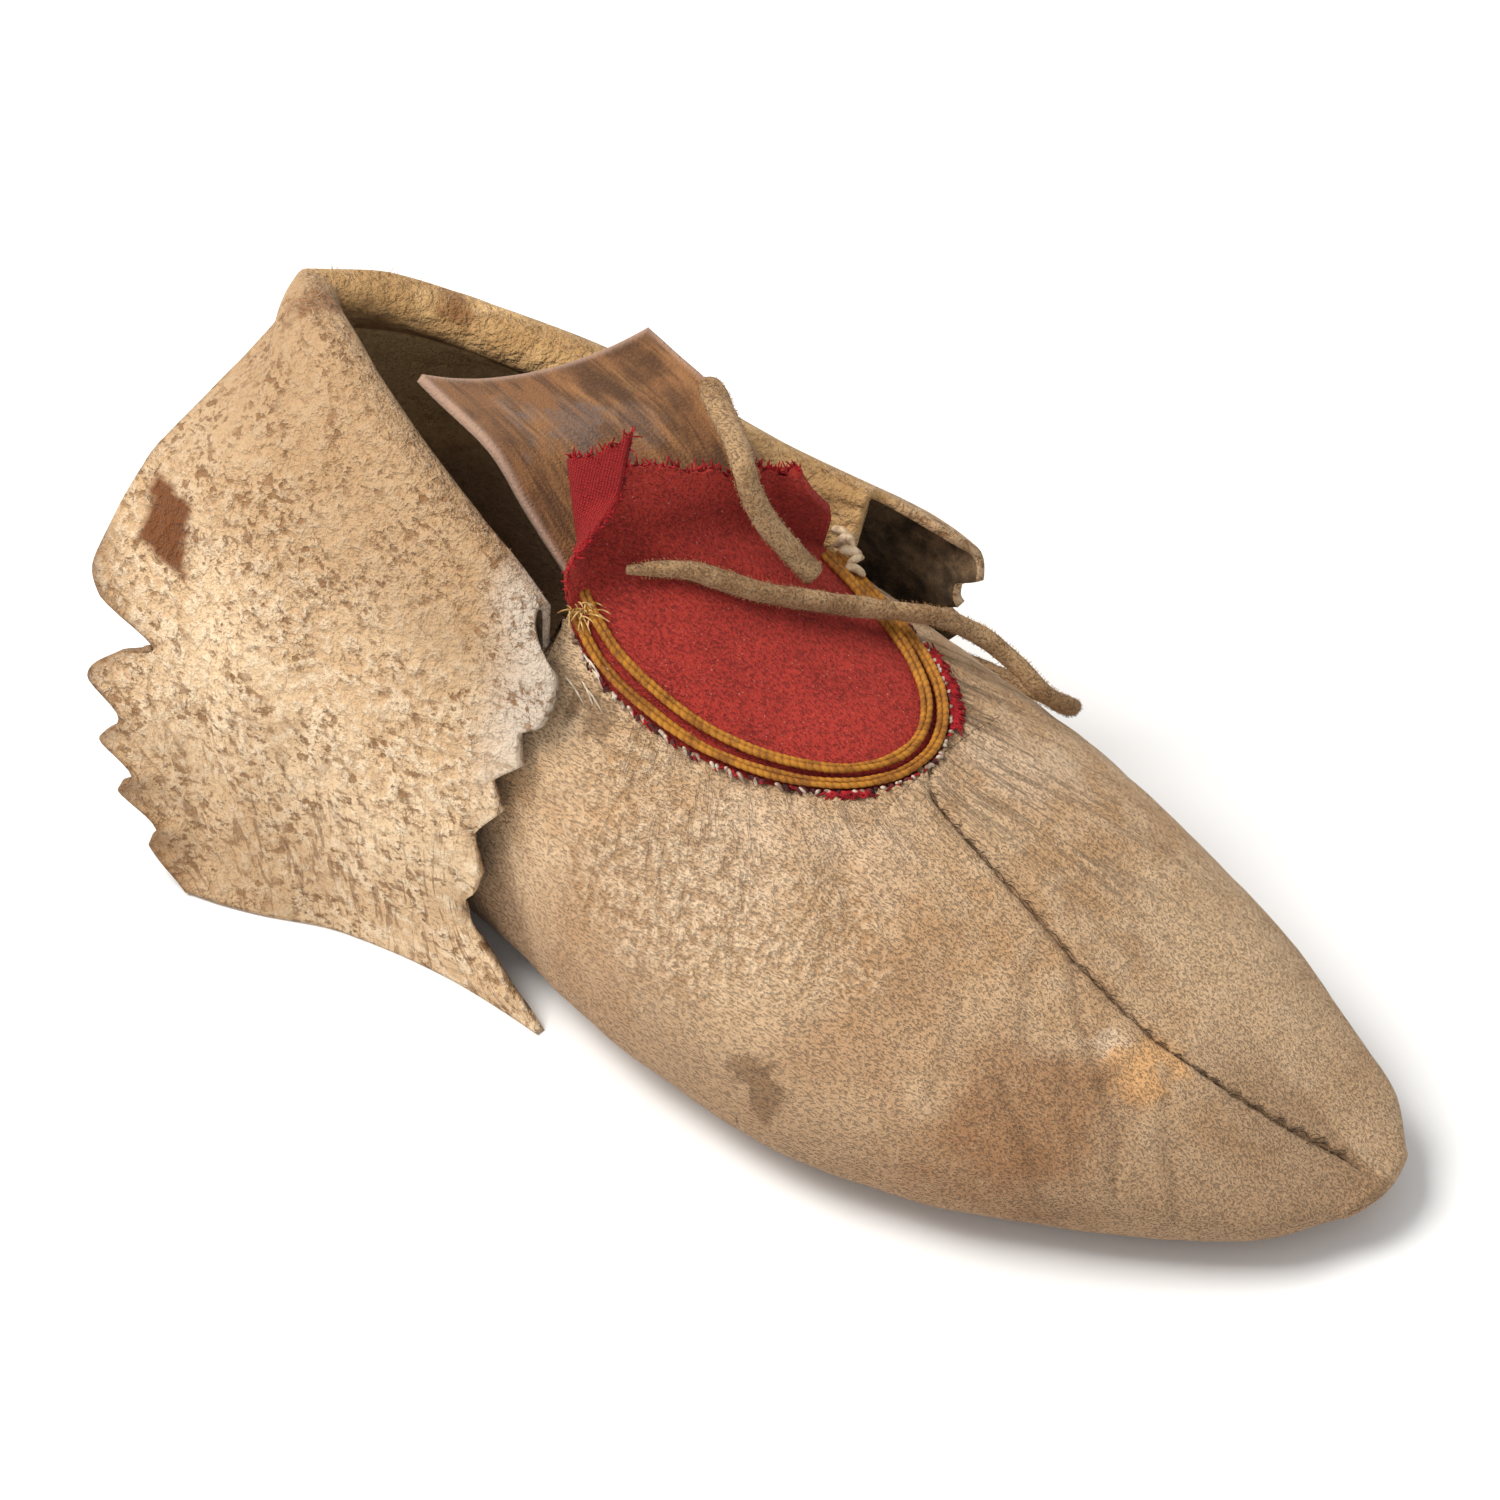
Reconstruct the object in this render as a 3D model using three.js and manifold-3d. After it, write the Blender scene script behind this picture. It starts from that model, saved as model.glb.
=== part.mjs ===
// Soft-soled moccasin for the right foot, in millimetres.
// Frame: +X to the toe, +Y to the inner (medial) side of the foot, +Z up. The origin lies on the
// flat of the sole, halfway between heel and toe.
//
// The hide body is sole, sides and vamp in one piece. A speckled hide cuff is sewn on its collar,
// rolls outward and hangs to the floor. Red cloth fills the U-shaped opening of the vamp and stands
// up as a flap, with two wrapped rows round it, a suede tongue behind it and a hide tie over it.
import * as THREE from 'three';
import { mergeVertices } from 'three/addons/utils/BufferGeometryUtils.js';
import Module from 'manifold-3d';

const wasm = await Module();
wasm.setup();

// Driving sizes
const FOOT_LENGTH = 242;
const BALL_WIDTH = 98.5;
const INSTEP_HEIGHT = 86;
const HEEL_HEIGHT = 98;
const HIDE_WALL = 1.8;
const CUFF_WALL = 1.8;
const CLOTH_WALL = 1.6;
const TONGUE_WALL = 1.8;
const SEAM_GAP = 0.3;
const CUFF_SEAM_GAP = 0.45;
const CUFF_END_GAP = 1.2;
const CUFF_ROLL_RADIUS = 4.5;
const CUFF_END_RADIUS = 2.8;
const CUFF_FLOOR_CLEARANCE = 0.3;
const THROAT_HALF_WIDTH = 26.6;
const THROAT_APEX = 26.6;
const THROAT_ROUND = 43.6;
const THROAT_CENTRE = -0.3;
const EDGING_WIDTH = 2.6;
const THONG_DIAMETER = 4.6;
const SOLE_PRESS = 0.6;

// A table's rows become objects with the named columns.
function table(columns, rows) {
  return rows.map((row) => Object.fromEntries(columns.map((name, i) => [name, row[i]])));
}

// Smooth curve through a table's column that never overshoots its rows (monotone cubic).
function smoothColumn(rows, at, column) {
  const x = rows.map((row) => row[at]);
  const y = rows.map((row) => row[column]);
  const last = x.length - 1;
  const slope = (i) => (y[i + 1] - y[i]) / (x[i + 1] - x[i]);
  const tangent = x.map((_, i) => {
    if (i === 0) return slope(0);
    if (i === last) return slope(last - 1);
    const before = slope(i - 1);
    const after = slope(i);
    return before * after <= 0 ? 0 : (2 * before * after) / (before + after);
  });
  return (value) => {
    const t = Math.min(Math.max(value, x[0]), x[last]);
    let i = 0;
    while (i < last - 1 && t > x[i + 1]) i += 1;
    const h = x[i + 1] - x[i];
    const k = (t - x[i]) / h;
    const k2 = k * k;
    const k3 = k2 * k;
    return y[i] * (2 * k3 - 3 * k2 + 1) + h * tangent[i] * (k3 - 2 * k2 + k)
      + y[i + 1] * (3 * k2 - 2 * k3) + h * tangent[i + 1] * (k3 - k2);
  };
}

// Straight lines between a table's rows.
function straightColumn(rows, at, column) {
  return (value) => {
    let i = 0;
    while (i < rows.length - 2 && value > rows[i + 1][at]) i += 1;
    const span = rows[i + 1][at] - rows[i][at];
    const k = Math.min(Math.max((value - rows[i][at]) / span, 0), 1);
    return rows[i][column] + (rows[i + 1][column] - rows[i][column]) * k;
  };
}

// Sections of the body from heel to toe. along is a share of the foot length. lateral and medial are
// half widths, ridge and keel the sideways place of the crown and of the sole's middle, all shares of
// the ball width. The crown's height is of_heel heel heights plus of_instep instep heights. girth (the
// height of the widest point) and spring (the lift of the sole) are shares of the instep height.
const SECTIONS = table(
  ['along', 'lateral', 'medial', 'ridge', 'keel', 'of_heel', 'of_instep', 'girth', 'spring'],
  [
    [0.000, 0.028, 0.033, 0.000, 0.000, 0.61, 0.00, 0.256, 0.035],
    [0.030, 0.165, 0.158, 0.000, 0.000, 0.97, 0.00, 0.256, 0.012],
    [0.100, 0.295, 0.276, 0.000, 0.000, 1.06, 0.00, 0.256, 0.000],
    [0.220, 0.381, 0.337, 0.000, 0.000, 0.62, 0.455, 0.233, 0.000],
    [0.360, 0.448, 0.382, 0.010, 0.000, 0.00, 1.000, 0.221, 0.000],
    [0.500, 0.520, 0.433, 0.030, 0.000, 0.00, 0.800, 0.209, 0.000],
    [0.620, 0.532, 0.454, 0.051, 0.000, 0.00, 0.663, 0.198, 0.000],
    [0.730, 0.483, 0.416, 0.071, 0.000, 0.00, 0.557, 0.198, 0.000],
    [0.830, 0.389, 0.354, 0.081, 0.010, 0.00, 0.418, 0.198, 0.006],
    [0.910, 0.289, 0.268, 0.081, 0.030, 0.00, 0.290, 0.174, 0.023],
    [0.965, 0.205, 0.197, 0.071, 0.051, 0.00, 0.192, 0.140, 0.052],
    [1.000, 0.085, 0.110, 0.061, 0.061, 0.00, 0.140, 0.110, 0.081],
  ],
);
const section = Object.fromEntries(
  Object.keys(SECTIONS[0]).slice(1).map((name) => [name, smoothColumn(SECTIONS, 'along', name)]),
);
const SOLE_FULLNESS = 3;
const LATERAL_FULLNESS = 2;
const MEDIAL_FULLNESS = 2.35;

const crownHeight = (along) => section.of_heel(along) * HEEL_HEIGHT + section.of_instep(along) * INSTEP_HEIGHT;
const girthHeight = (along) => section.girth(along) * INSTEP_HEIGHT;
const stationX = (along) => (along - 0.5) * FOOT_LENGTH;
const stationAt = (x) => x / FOOT_LENGTH + 0.5;

// Half width of one side, measured from the middle of the sole; side is -1 lateral, +1 medial.
function reach(along, side) {
  const width = side > 0 ? section.medial(along) : section.lateral(along);
  return (section.keel(along) + side * width) * BALL_WIDTH;
}

// Outer skin of the body. turn runs from 0 under the foot to 1 at the widest point and 2 at the crown.
function skin(along, side, turn) {
  const keel = section.keel(along) * BALL_WIDTH;
  const edge = reach(along, side);
  const girth = girthHeight(along);
  if (turn <= 1) {
    const angle = (turn * Math.PI) / 2;
    const power = 2 / SOLE_FULLNESS;
    const spring = section.spring(along) * INSTEP_HEIGHT;
    const y = keel + (edge - keel) * Math.sin(angle) ** power;
    const z = spring + (girth - spring) * (1 - Math.cos(angle) ** power);
    return new THREE.Vector3(stationX(along), y, Math.max(z - SOLE_PRESS, 0));
  }
  const angle = ((turn - 1) * Math.PI) / 2;
  const power = 2 / (side > 0 ? MEDIAL_FULLNESS : LATERAL_FULLNESS);
  const ridge = section.ridge(along) * BALL_WIDTH;
  const top = crownHeight(along);
  const y = ridge + (edge - ridge) * Math.max(Math.cos(angle), 0) ** power;
  const z = girth + (top - girth) * Math.sin(angle) ** power;
  return new THREE.Vector3(stationX(along), y, z - SOLE_PRESS);
}

// Sideways place of the skin at a height; below the widest point it stays at the widest.
function skinSide(x, z, side) {
  const along = stationAt(x);
  const fullness = side > 0 ? MEDIAL_FULLNESS : LATERAL_FULLNESS;
  const girth = girthHeight(along);
  const rise = (z + SOLE_PRESS - girth) / (crownHeight(along) - girth);
  const edge = reach(along, side);
  if (rise <= 0) return edge;
  const ridge = section.ridge(along) * BALL_WIDTH;
  return ridge + (edge - ridge) * Math.max(1 - rise ** fullness, 0) ** (1 / fullness);
}

// Height of the skin's upper half at a place in plan.
function skinTop(x, y) {
  const along = stationAt(x);
  const ridge = section.ridge(along) * BALL_WIDTH;
  const side = y > ridge ? 1 : -1;
  const fullness = side > 0 ? MEDIAL_FULLNESS : LATERAL_FULLNESS;
  const out = Math.min(Math.abs((y - ridge) / (reach(along, side) - ridge)), 1);
  const girth = girthHeight(along);
  return girth + (crownHeight(along) - girth) * (1 - out ** fullness) ** (1 / fullness) - SOLE_PRESS;
}

// A closed mesh becomes a solid, and a solid becomes a mesh's geometry.
function toSolid(geometry) {
  const bare = geometry.clone();
  bare.deleteAttribute('normal');
  bare.deleteAttribute('uv');
  const merged = mergeVertices(bare, 1e-4);
  return new wasm.Manifold(new wasm.Mesh({
    numProp: 3,
    vertProperties: new Float32Array(merged.attributes.position.array),
    triVerts: new Uint32Array(merged.index.array),
  }));
}

function toGeometry(solid) {
  const mesh = solid.getMesh();
  const geometry = new THREE.BufferGeometry();
  geometry.setAttribute('position', new THREE.BufferAttribute(mesh.vertProperties, 3));
  geometry.setIndex(new THREE.BufferAttribute(mesh.triVerts, 1));
  geometry.computeVertexNormals();
  return geometry;
}

function indexedGeometry(points, faces) {
  const geometry = new THREE.BufferGeometry();
  geometry.setAttribute('position', new THREE.Float32BufferAttribute(points.flatMap((p) => [p.x, p.y, p.z]), 3));
  geometry.setIndex(faces.flat());
  geometry.computeVertexNormals();
  return geometry;
}

// A sheet of hide or cloth: quads over middle points, given a wall along the averaged normals and
// closed round every free edge. level lists points whose wall is laid horizontally, so that a seam
// or hem ends on a level face; upright lists those whose wall stands vertically.
function sheet(middle, quads, wall, { level = new Set(), upright = new Set() } = {}) {
  const normals = middle.map(() => new THREE.Vector3());
  for (const [a, b, c, d] of quads) {
    const across = middle[c].clone().sub(middle[a]);
    const normal = across.cross(middle[d].clone().sub(middle[b]));
    for (const i of [a, b, c, d]) normals[i].add(normal);
  }
  const offset = normals.map((normal, i) => {
    if (level.has(i)) normal.z = 0;
    normal.normalize();
    if (upright.has(i)) return new THREE.Vector3(0, 0, Math.sign(normal.z) * (wall / 2));
    return normal.multiplyScalar(wall / 2);
  });
  const count = middle.length;
  const points = [
    ...middle.map((p, i) => p.clone().add(offset[i])),
    ...middle.map((p, i) => p.clone().sub(offset[i])),
  ];
  const faces = [];
  const edges = new Map();
  for (const quad of quads) {
    const [a, b, c, d] = quad;
    faces.push([a, b, c], [a, c, d]);
    faces.push([a + count, c + count, b + count], [a + count, d + count, c + count]);
    quad.forEach((from, k) => {
      const to = quad[(k + 1) % quad.length];
      const twin = `${to},${from}`;
      if (edges.has(twin)) edges.delete(twin);
      else edges.set(`${from},${to}`, [from, to]);
    });
  }
  for (const [from, to] of edges.values()) {
    faces.push([from, from + count, to + count], [from, to + count, to]);
  }
  return indexedGeometry(points, faces);
}

// Quads of a rectangular grid of point numbers.
function gridQuads(rows) {
  const quads = [];
  for (let j = 0; j + 1 < rows.length; j += 1) {
    for (let i = 0; i + 1 < rows[j].length; i += 1) {
      quads.push([rows[j][i], rows[j][i + 1], rows[j + 1][i + 1], rows[j + 1][i]]);
    }
  }
  return quads;
}

// Prism from a closed outline: upright from the plan, or sideways from the side view.
function uprightPrism(outline, low, high) {
  const shape = new THREE.Shape(outline.map(([x, y]) => new THREE.Vector2(x, y)));
  const geometry = new THREE.ExtrudeGeometry(shape, { depth: high - low, bevelEnabled: false });
  return toSolid(geometry.translate(0, 0, low));
}

function sidewaysPrism(outline, near, far) {
  const shape = new THREE.Shape(outline.map(([x, z]) => new THREE.Vector2(x, z)));
  const geometry = new THREE.ExtrudeGeometry(shape, { depth: far - near, bevelEnabled: false });
  return toSolid(geometry.rotateX(Math.PI / 2).translate(0, far, 0));
}

// Moccasin body

const BODY_STATIONS = 28;
const BODY_TURNS = 17;

// Rings of the skin, closer together towards heel and toe, closed by a fan at each end.
function bodyShell(inset) {
  const rings = [];
  for (let i = 0; i <= BODY_STATIONS; i += 1) {
    const t = i / BODY_STATIONS;
    const along = 0.35 * t + 0.65 * (1 - Math.cos(Math.PI * t)) / 2;
    const ring = [];
    for (let k = 0; k < BODY_TURNS; k += 1) ring.push(skin(along, 1, (2 * k) / BODY_TURNS));
    for (let k = BODY_TURNS; k > 0; k -= 1) ring.push(skin(along, -1, (2 * k) / BODY_TURNS));
    rings.push(ring);
  }
  const points = rings.flat();
  const around = rings[0].length;
  const faces = [];
  for (let i = 0; i < BODY_STATIONS; i += 1) {
    for (let k = 0; k < around; k += 1) {
      const a = i * around + k;
      const b = i * around + ((k + 1) % around);
      faces.push([a, b + around, a + around], [a, b, b + around]);
    }
  }
  for (const [ring, first, flip] of [[rings[0], 0, false], [rings.at(-1), BODY_STATIONS * around, true]]) {
    const centre = ring.reduce((sum, p) => sum.add(p), new THREE.Vector3()).divideScalar(around);
    points.push(centre);
    for (let k = 0; k < around; k += 1) {
      const a = first + k;
      const b = first + ((k + 1) % around);
      faces.push(flip ? [points.length - 1, a, b] : [points.length - 1, b, a]);
    }
  }
  const geometry = indexedGeometry(points, faces);
  if (inset === 0) return toSolid(geometry);
  const merged = mergeVertices(geometry.deleteAttribute('normal'), 1e-4);
  merged.computeVertexNormals();
  const position = merged.attributes.position;
  const normal = merged.attributes.normal;
  for (let i = 0; i < position.count; i += 1) {
    position.setXYZ(
      i,
      position.getX(i) - normal.getX(i) * inset,
      position.getY(i) - normal.getY(i) * inset,
      position.getZ(i) - normal.getZ(i) * inset,
    );
  }
  return toSolid(merged);
}

// Top edge of the body, where the cuff is sewn on: place along the foot as a share of its length from
// the middle, height as a share of the heel height.
const LATERAL_RIM = table(['x', 'z'], [
  [-0.50, 0.825], [-0.467, 0.835], [-0.41, 0.855], [-0.35, 0.845], [-0.29, 0.785], [-0.23, 0.735],
  [-0.185, 0.715], [-0.145, 0.715],
]);
const MEDIAL_RIM = table(['x', 'z'], [
  [-0.50, 0.825], [-0.467, 0.815], [-0.41, 0.775], [-0.33, 0.745], [-0.23, 0.690], [-0.15, 0.652],
  [-0.10, 0.636], [-0.055, 0.625],
]);
const rimRows = (side) => (side > 0 ? MEDIAL_RIM : LATERAL_RIM);
const rimHeight = (x, side) => smoothColumn(rimRows(side), 'x', 'z')(x / FOOT_LENGTH) * HEEL_HEIGHT;
const rimFront = (side) => rimRows(side).at(-1).x * FOOT_LENGTH;
const RIM_STEPS = 22;

// The cuts through the upper reach from above the sole to well clear of the crown.
const CUT_FLOOR = 0.25;
const CUT_ROOF = 1.4;

// Everything above the rim on one side of the foot.
function mouthCutter(side) {
  const front = rimFront(side);
  const back = -0.5 * FOOT_LENGTH - HIDE_WALL;
  const roof = HEEL_HEIGHT * CUT_ROOF;
  const outline = [];
  for (let i = 0; i <= RIM_STEPS; i += 1) {
    const x = back + ((front - back) * i) / RIM_STEPS;
    outline.push([x, rimHeight(x, side)]);
  }
  outline.push([front, roof], [back, roof]);
  return sidewaysPrism(outline, side > 0 ? 0 : -BALL_WIDTH, side > 0 ? BALL_WIDTH : 0);
}

// The U of the vamp in plan: half an ellipse in front, drawn in again towards the ankle. inset
// shrinks it.
const THROAT_ARC_STEPS = 18;
const THROAT_BACK_STEPS = 6;
const THROAT_DRAWN_IN = 1.3;
const throatStart = THROAT_APEX - THROAT_ROUND;

function throatHalf(x, inset) {
  const half = THROAT_HALF_WIDTH - inset;
  const share = (x - throatStart) / (THROAT_ROUND - inset);
  if (share > 0) return half * Math.sqrt(Math.max(1 - share * share, 0));
  return half * (1 - THROAT_DRAWN_IN * share * share);
}

// The U leans a little towards the inner side of the foot as it runs forwards.
const THROAT_LEAN = 0.06;
const throatMiddle = (x) => THROAT_CENTRE + THROAT_LEAN * (x - throatStart);

function throatOutline(inset, lateralBack, medialBack) {
  const outline = [];
  for (let i = 0; i < THROAT_BACK_STEPS; i += 1) {
    const x = THREE.MathUtils.lerp(lateralBack, throatStart, i / THROAT_BACK_STEPS);
    outline.push([x, throatMiddle(x) - throatHalf(x, inset)]);
  }
  const short = (medialBack - throatStart) / (THROAT_ROUND - inset);
  const arcEnd = Math.acos(THREE.MathUtils.clamp(short, 0, 1));
  for (let i = 0; i <= THROAT_ARC_STEPS; i += 1) {
    const angle = THREE.MathUtils.lerp(-Math.PI / 2, arcEnd, i / THROAT_ARC_STEPS);
    const x = throatStart + (THROAT_ROUND - inset) * Math.cos(angle);
    outline.push([x, throatMiddle(x) + (THROAT_HALF_WIDTH - inset) * Math.sin(angle)]);
  }
  for (let i = 1; i <= THROAT_BACK_STEPS; i += 1) {
    const x = THREE.MathUtils.lerp(throatStart, medialBack, i / THROAT_BACK_STEPS);
    if (x < throatStart) outline.push([x, throatMiddle(x) + throatHalf(x, inset)]);
  }
  return outline;
}

function makeBody() {
  const behind = rimFront(-1) - THROAT_HALF_WIDTH / 3;
  const throat = uprightPrism(throatOutline(0, behind, behind), HEEL_HEIGHT * CUT_FLOOR, HEEL_HEIGHT * CUT_ROOF);
  const shell = bodyShell(0).subtract(bodyShell(HIDE_WALL));
  return toGeometry(shell.subtract(mouthCutter(-1)).subtract(mouthCutter(1)).subtract(throat));
}

// Ankle cuff

// Crest of the roll, from its front end to the heel, for each half. x is a share of the foot length
// from the middle, y of the ball width, z of the heel height.
const LATERAL_FOLD = table(['along', 'x', 'y', 'z'], [
  [0.00, -0.152, -0.272, 0.822], [0.15, -0.190, -0.262, 0.868], [0.30, -0.230, -0.254, 0.906],
  [0.50, -0.290, -0.224, 0.962], [0.70, -0.352, -0.178, 1.010], [0.86, -0.412, -0.112, 1.035],
  [0.95, -0.452, -0.050, 1.022], [1.00, -0.468, 0.010, 0.998],
]);
const MEDIAL_FOLD = table(['along', 'x', 'y', 'z'], [
  [0.00, -0.062, 0.382, 0.745], [0.12, -0.100, 0.376, 0.742], [0.25, -0.150, 0.352, 0.758],
  [0.45, -0.240, 0.306, 0.808], [0.62, -0.310, 0.272, 0.842], [0.78, -0.380, 0.214, 0.880],
  [0.92, -0.440, 0.118, 0.945], [1.00, -0.468, 0.010, 0.998],
]);

// How each half hangs below the roll. along runs from the front end to the slit at the heel, fall from
// the roll to the floor. x is a share of the foot length from the middle, off the distance to the
// body's side as a share of the ball width.
const LATERAL_DRAPE = table(['along', 'fall', 'x', 'off'], [
  [0.00, 0.00, -0.140, 0.055], [0.00, 0.12, -0.112, 0.050], [0.00, 0.30, -0.132, 0.040],
  [0.00, 0.55, -0.152, 0.034], [0.00, 0.78, -0.168, 0.032], [0.00, 1.00, -0.095, 0.020],
  [0.30, 0.00, -0.228, 0.060], [0.30, 0.12, -0.222, 0.075], [0.30, 0.30, -0.216, 0.080],
  [0.30, 0.55, -0.208, 0.080], [0.30, 0.78, -0.203, 0.070], [0.30, 1.00, -0.196, 0.066],
  [0.60, 0.00, -0.322, 0.085], [0.60, 0.12, -0.316, 0.110], [0.60, 0.30, -0.308, 0.130],
  [0.60, 0.55, -0.300, 0.140], [0.60, 0.78, -0.290, 0.140], [0.60, 1.00, -0.282, 0.140],
  [0.85, 0.00, -0.412, 0.090], [0.85, 0.12, -0.408, 0.150], [0.85, 0.30, -0.410, 0.200],
  [0.85, 0.55, -0.400, 0.240], [0.85, 0.78, -0.380, 0.250], [0.85, 1.00, -0.350, 0.250],
  [1.00, 0.00, -0.474, 0.020], [1.00, 0.12, -0.486, 0.080], [1.00, 0.30, -0.506, 0.160],
  [1.00, 0.42, -0.508, 0.225], [1.00, 0.55, -0.498, 0.255], [1.00, 0.78, -0.460, 0.325],
  [1.00, 1.00, -0.403, 0.335],
]);
const MEDIAL_DRAPE = table(['along', 'fall', 'x', 'off'], [
  [0.00, 0.00, -0.050, 0.200], [0.00, 0.06, -0.015, 0.220], [0.00, 0.12, 0.004, 0.220],
  [0.00, 0.20, 0.017, 0.152], [0.00, 0.30, -0.004, 0.083], [0.00, 0.55, -0.015, 0.070],
  [0.00, 0.78, -0.020, 0.055], [0.00, 1.00, -0.020, 0.055],
  [0.30, 0.00, -0.165, 0.120], [0.30, 0.12, -0.160, 0.130], [0.30, 0.30, -0.152, 0.130],
  [0.30, 0.55, -0.145, 0.105], [0.30, 0.78, -0.140, 0.095], [0.30, 1.00, -0.135, 0.100],
  [0.60, 0.00, -0.300, 0.110], [0.60, 0.12, -0.296, 0.125], [0.60, 0.30, -0.290, 0.125],
  [0.60, 0.55, -0.284, 0.115], [0.60, 0.78, -0.276, 0.120], [0.60, 1.00, -0.270, 0.130],
  [0.85, 0.00, -0.412, 0.080], [0.85, 0.12, -0.412, 0.105], [0.85, 0.30, -0.408, 0.115],
  [0.85, 0.55, -0.396, 0.120], [0.85, 0.78, -0.380, 0.140], [0.85, 1.00, -0.365, 0.150],
  [1.00, 0.00, -0.478, 0.010], [1.00, 0.12, -0.496, 0.020], [1.00, 0.30, -0.512, 0.055],
  [1.00, 0.55, -0.505, 0.105], [1.00, 0.78, -0.485, 0.150], [1.00, 1.00, -0.460, 0.180],
]);

// Pinked ends: how far the edge stands out along the strip, in shares of the foot length.
const FRONT_TEETH = table(['fall', 'out'], [
  [0.00, 0.000], [0.20, 0.000], [0.24, -0.012], [0.30, 0.006], [0.37, -0.013], [0.43, 0.006],
  [0.53, -0.014], [0.63, 0.006], [0.70, 0.004], [0.77, -0.014], [0.84, 0.000], [1.00, 0.000],
]);
const REAR_TEETH = table(['fall', 'out'], [
  [0.00, 0.000], [0.37, 0.010], [0.42, 0.012], [0.47, 0.004], [0.51, -0.040], [0.56, -0.008], [0.63, 0.016],
  [0.67, -0.008], [0.73, 0.012], [0.77, -0.008], [0.83, 0.014], [0.87, -0.007], [0.93, 0.012], [1.00, 0.000],
]);
const FLAP_FALLS = [
  0.05, 0.10, 0.15, 0.20, 0.24, 0.30, 0.37, 0.42, 0.47, 0.51, 0.56, 0.63, 0.67, 0.73, 0.77, 0.83, 0.87, 0.93, 1,
];
const CUFF_COLUMNS = 12;
const SEAM_ROWS = 3;
const ROLL_STEPS = 5;
const ROLL_ANGLE = Math.PI * 0.75;
const CUFF_SETTLED = 0.24;

// A value of a drape table at any place: smooth down each station, then smooth along the strip.
function drapeValue(rows, along, fall, column) {
  const stations = [...new Set(rows.map((row) => row.along))];
  const across = stations.map((station) => ({
    along: station,
    value: smoothColumn(rows.filter((row) => row.along === station), 'fall', column)(fall),
  }));
  return smoothColumn(across, 'along', 'value')(along);
}

// Points of the rim from the front end (0) to the heel (1), evenly spaced along it.
const RIM_SAMPLES = 240;
function rimCurve(side) {
  const points = [];
  const front = stationAt(rimFront(side) - CUFF_END_GAP);
  for (let i = 0; i <= RIM_SAMPLES; i += 1) {
    const along = front * (1 - i / RIM_SAMPLES);
    const x = stationX(along);
    const z = rimHeight(x, side);
    if (crownHeight(along) - SOLE_PRESS <= z) break;
    points.push(new THREE.Vector3(x, skinSide(x, z, side), z));
  }
  const heel = points.at(-1).clone();
  heel.y = 0;
  points.push(heel);
  return new THREE.CatmullRomCurve3(points, false, 'catmullrom', 0);
}

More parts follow.
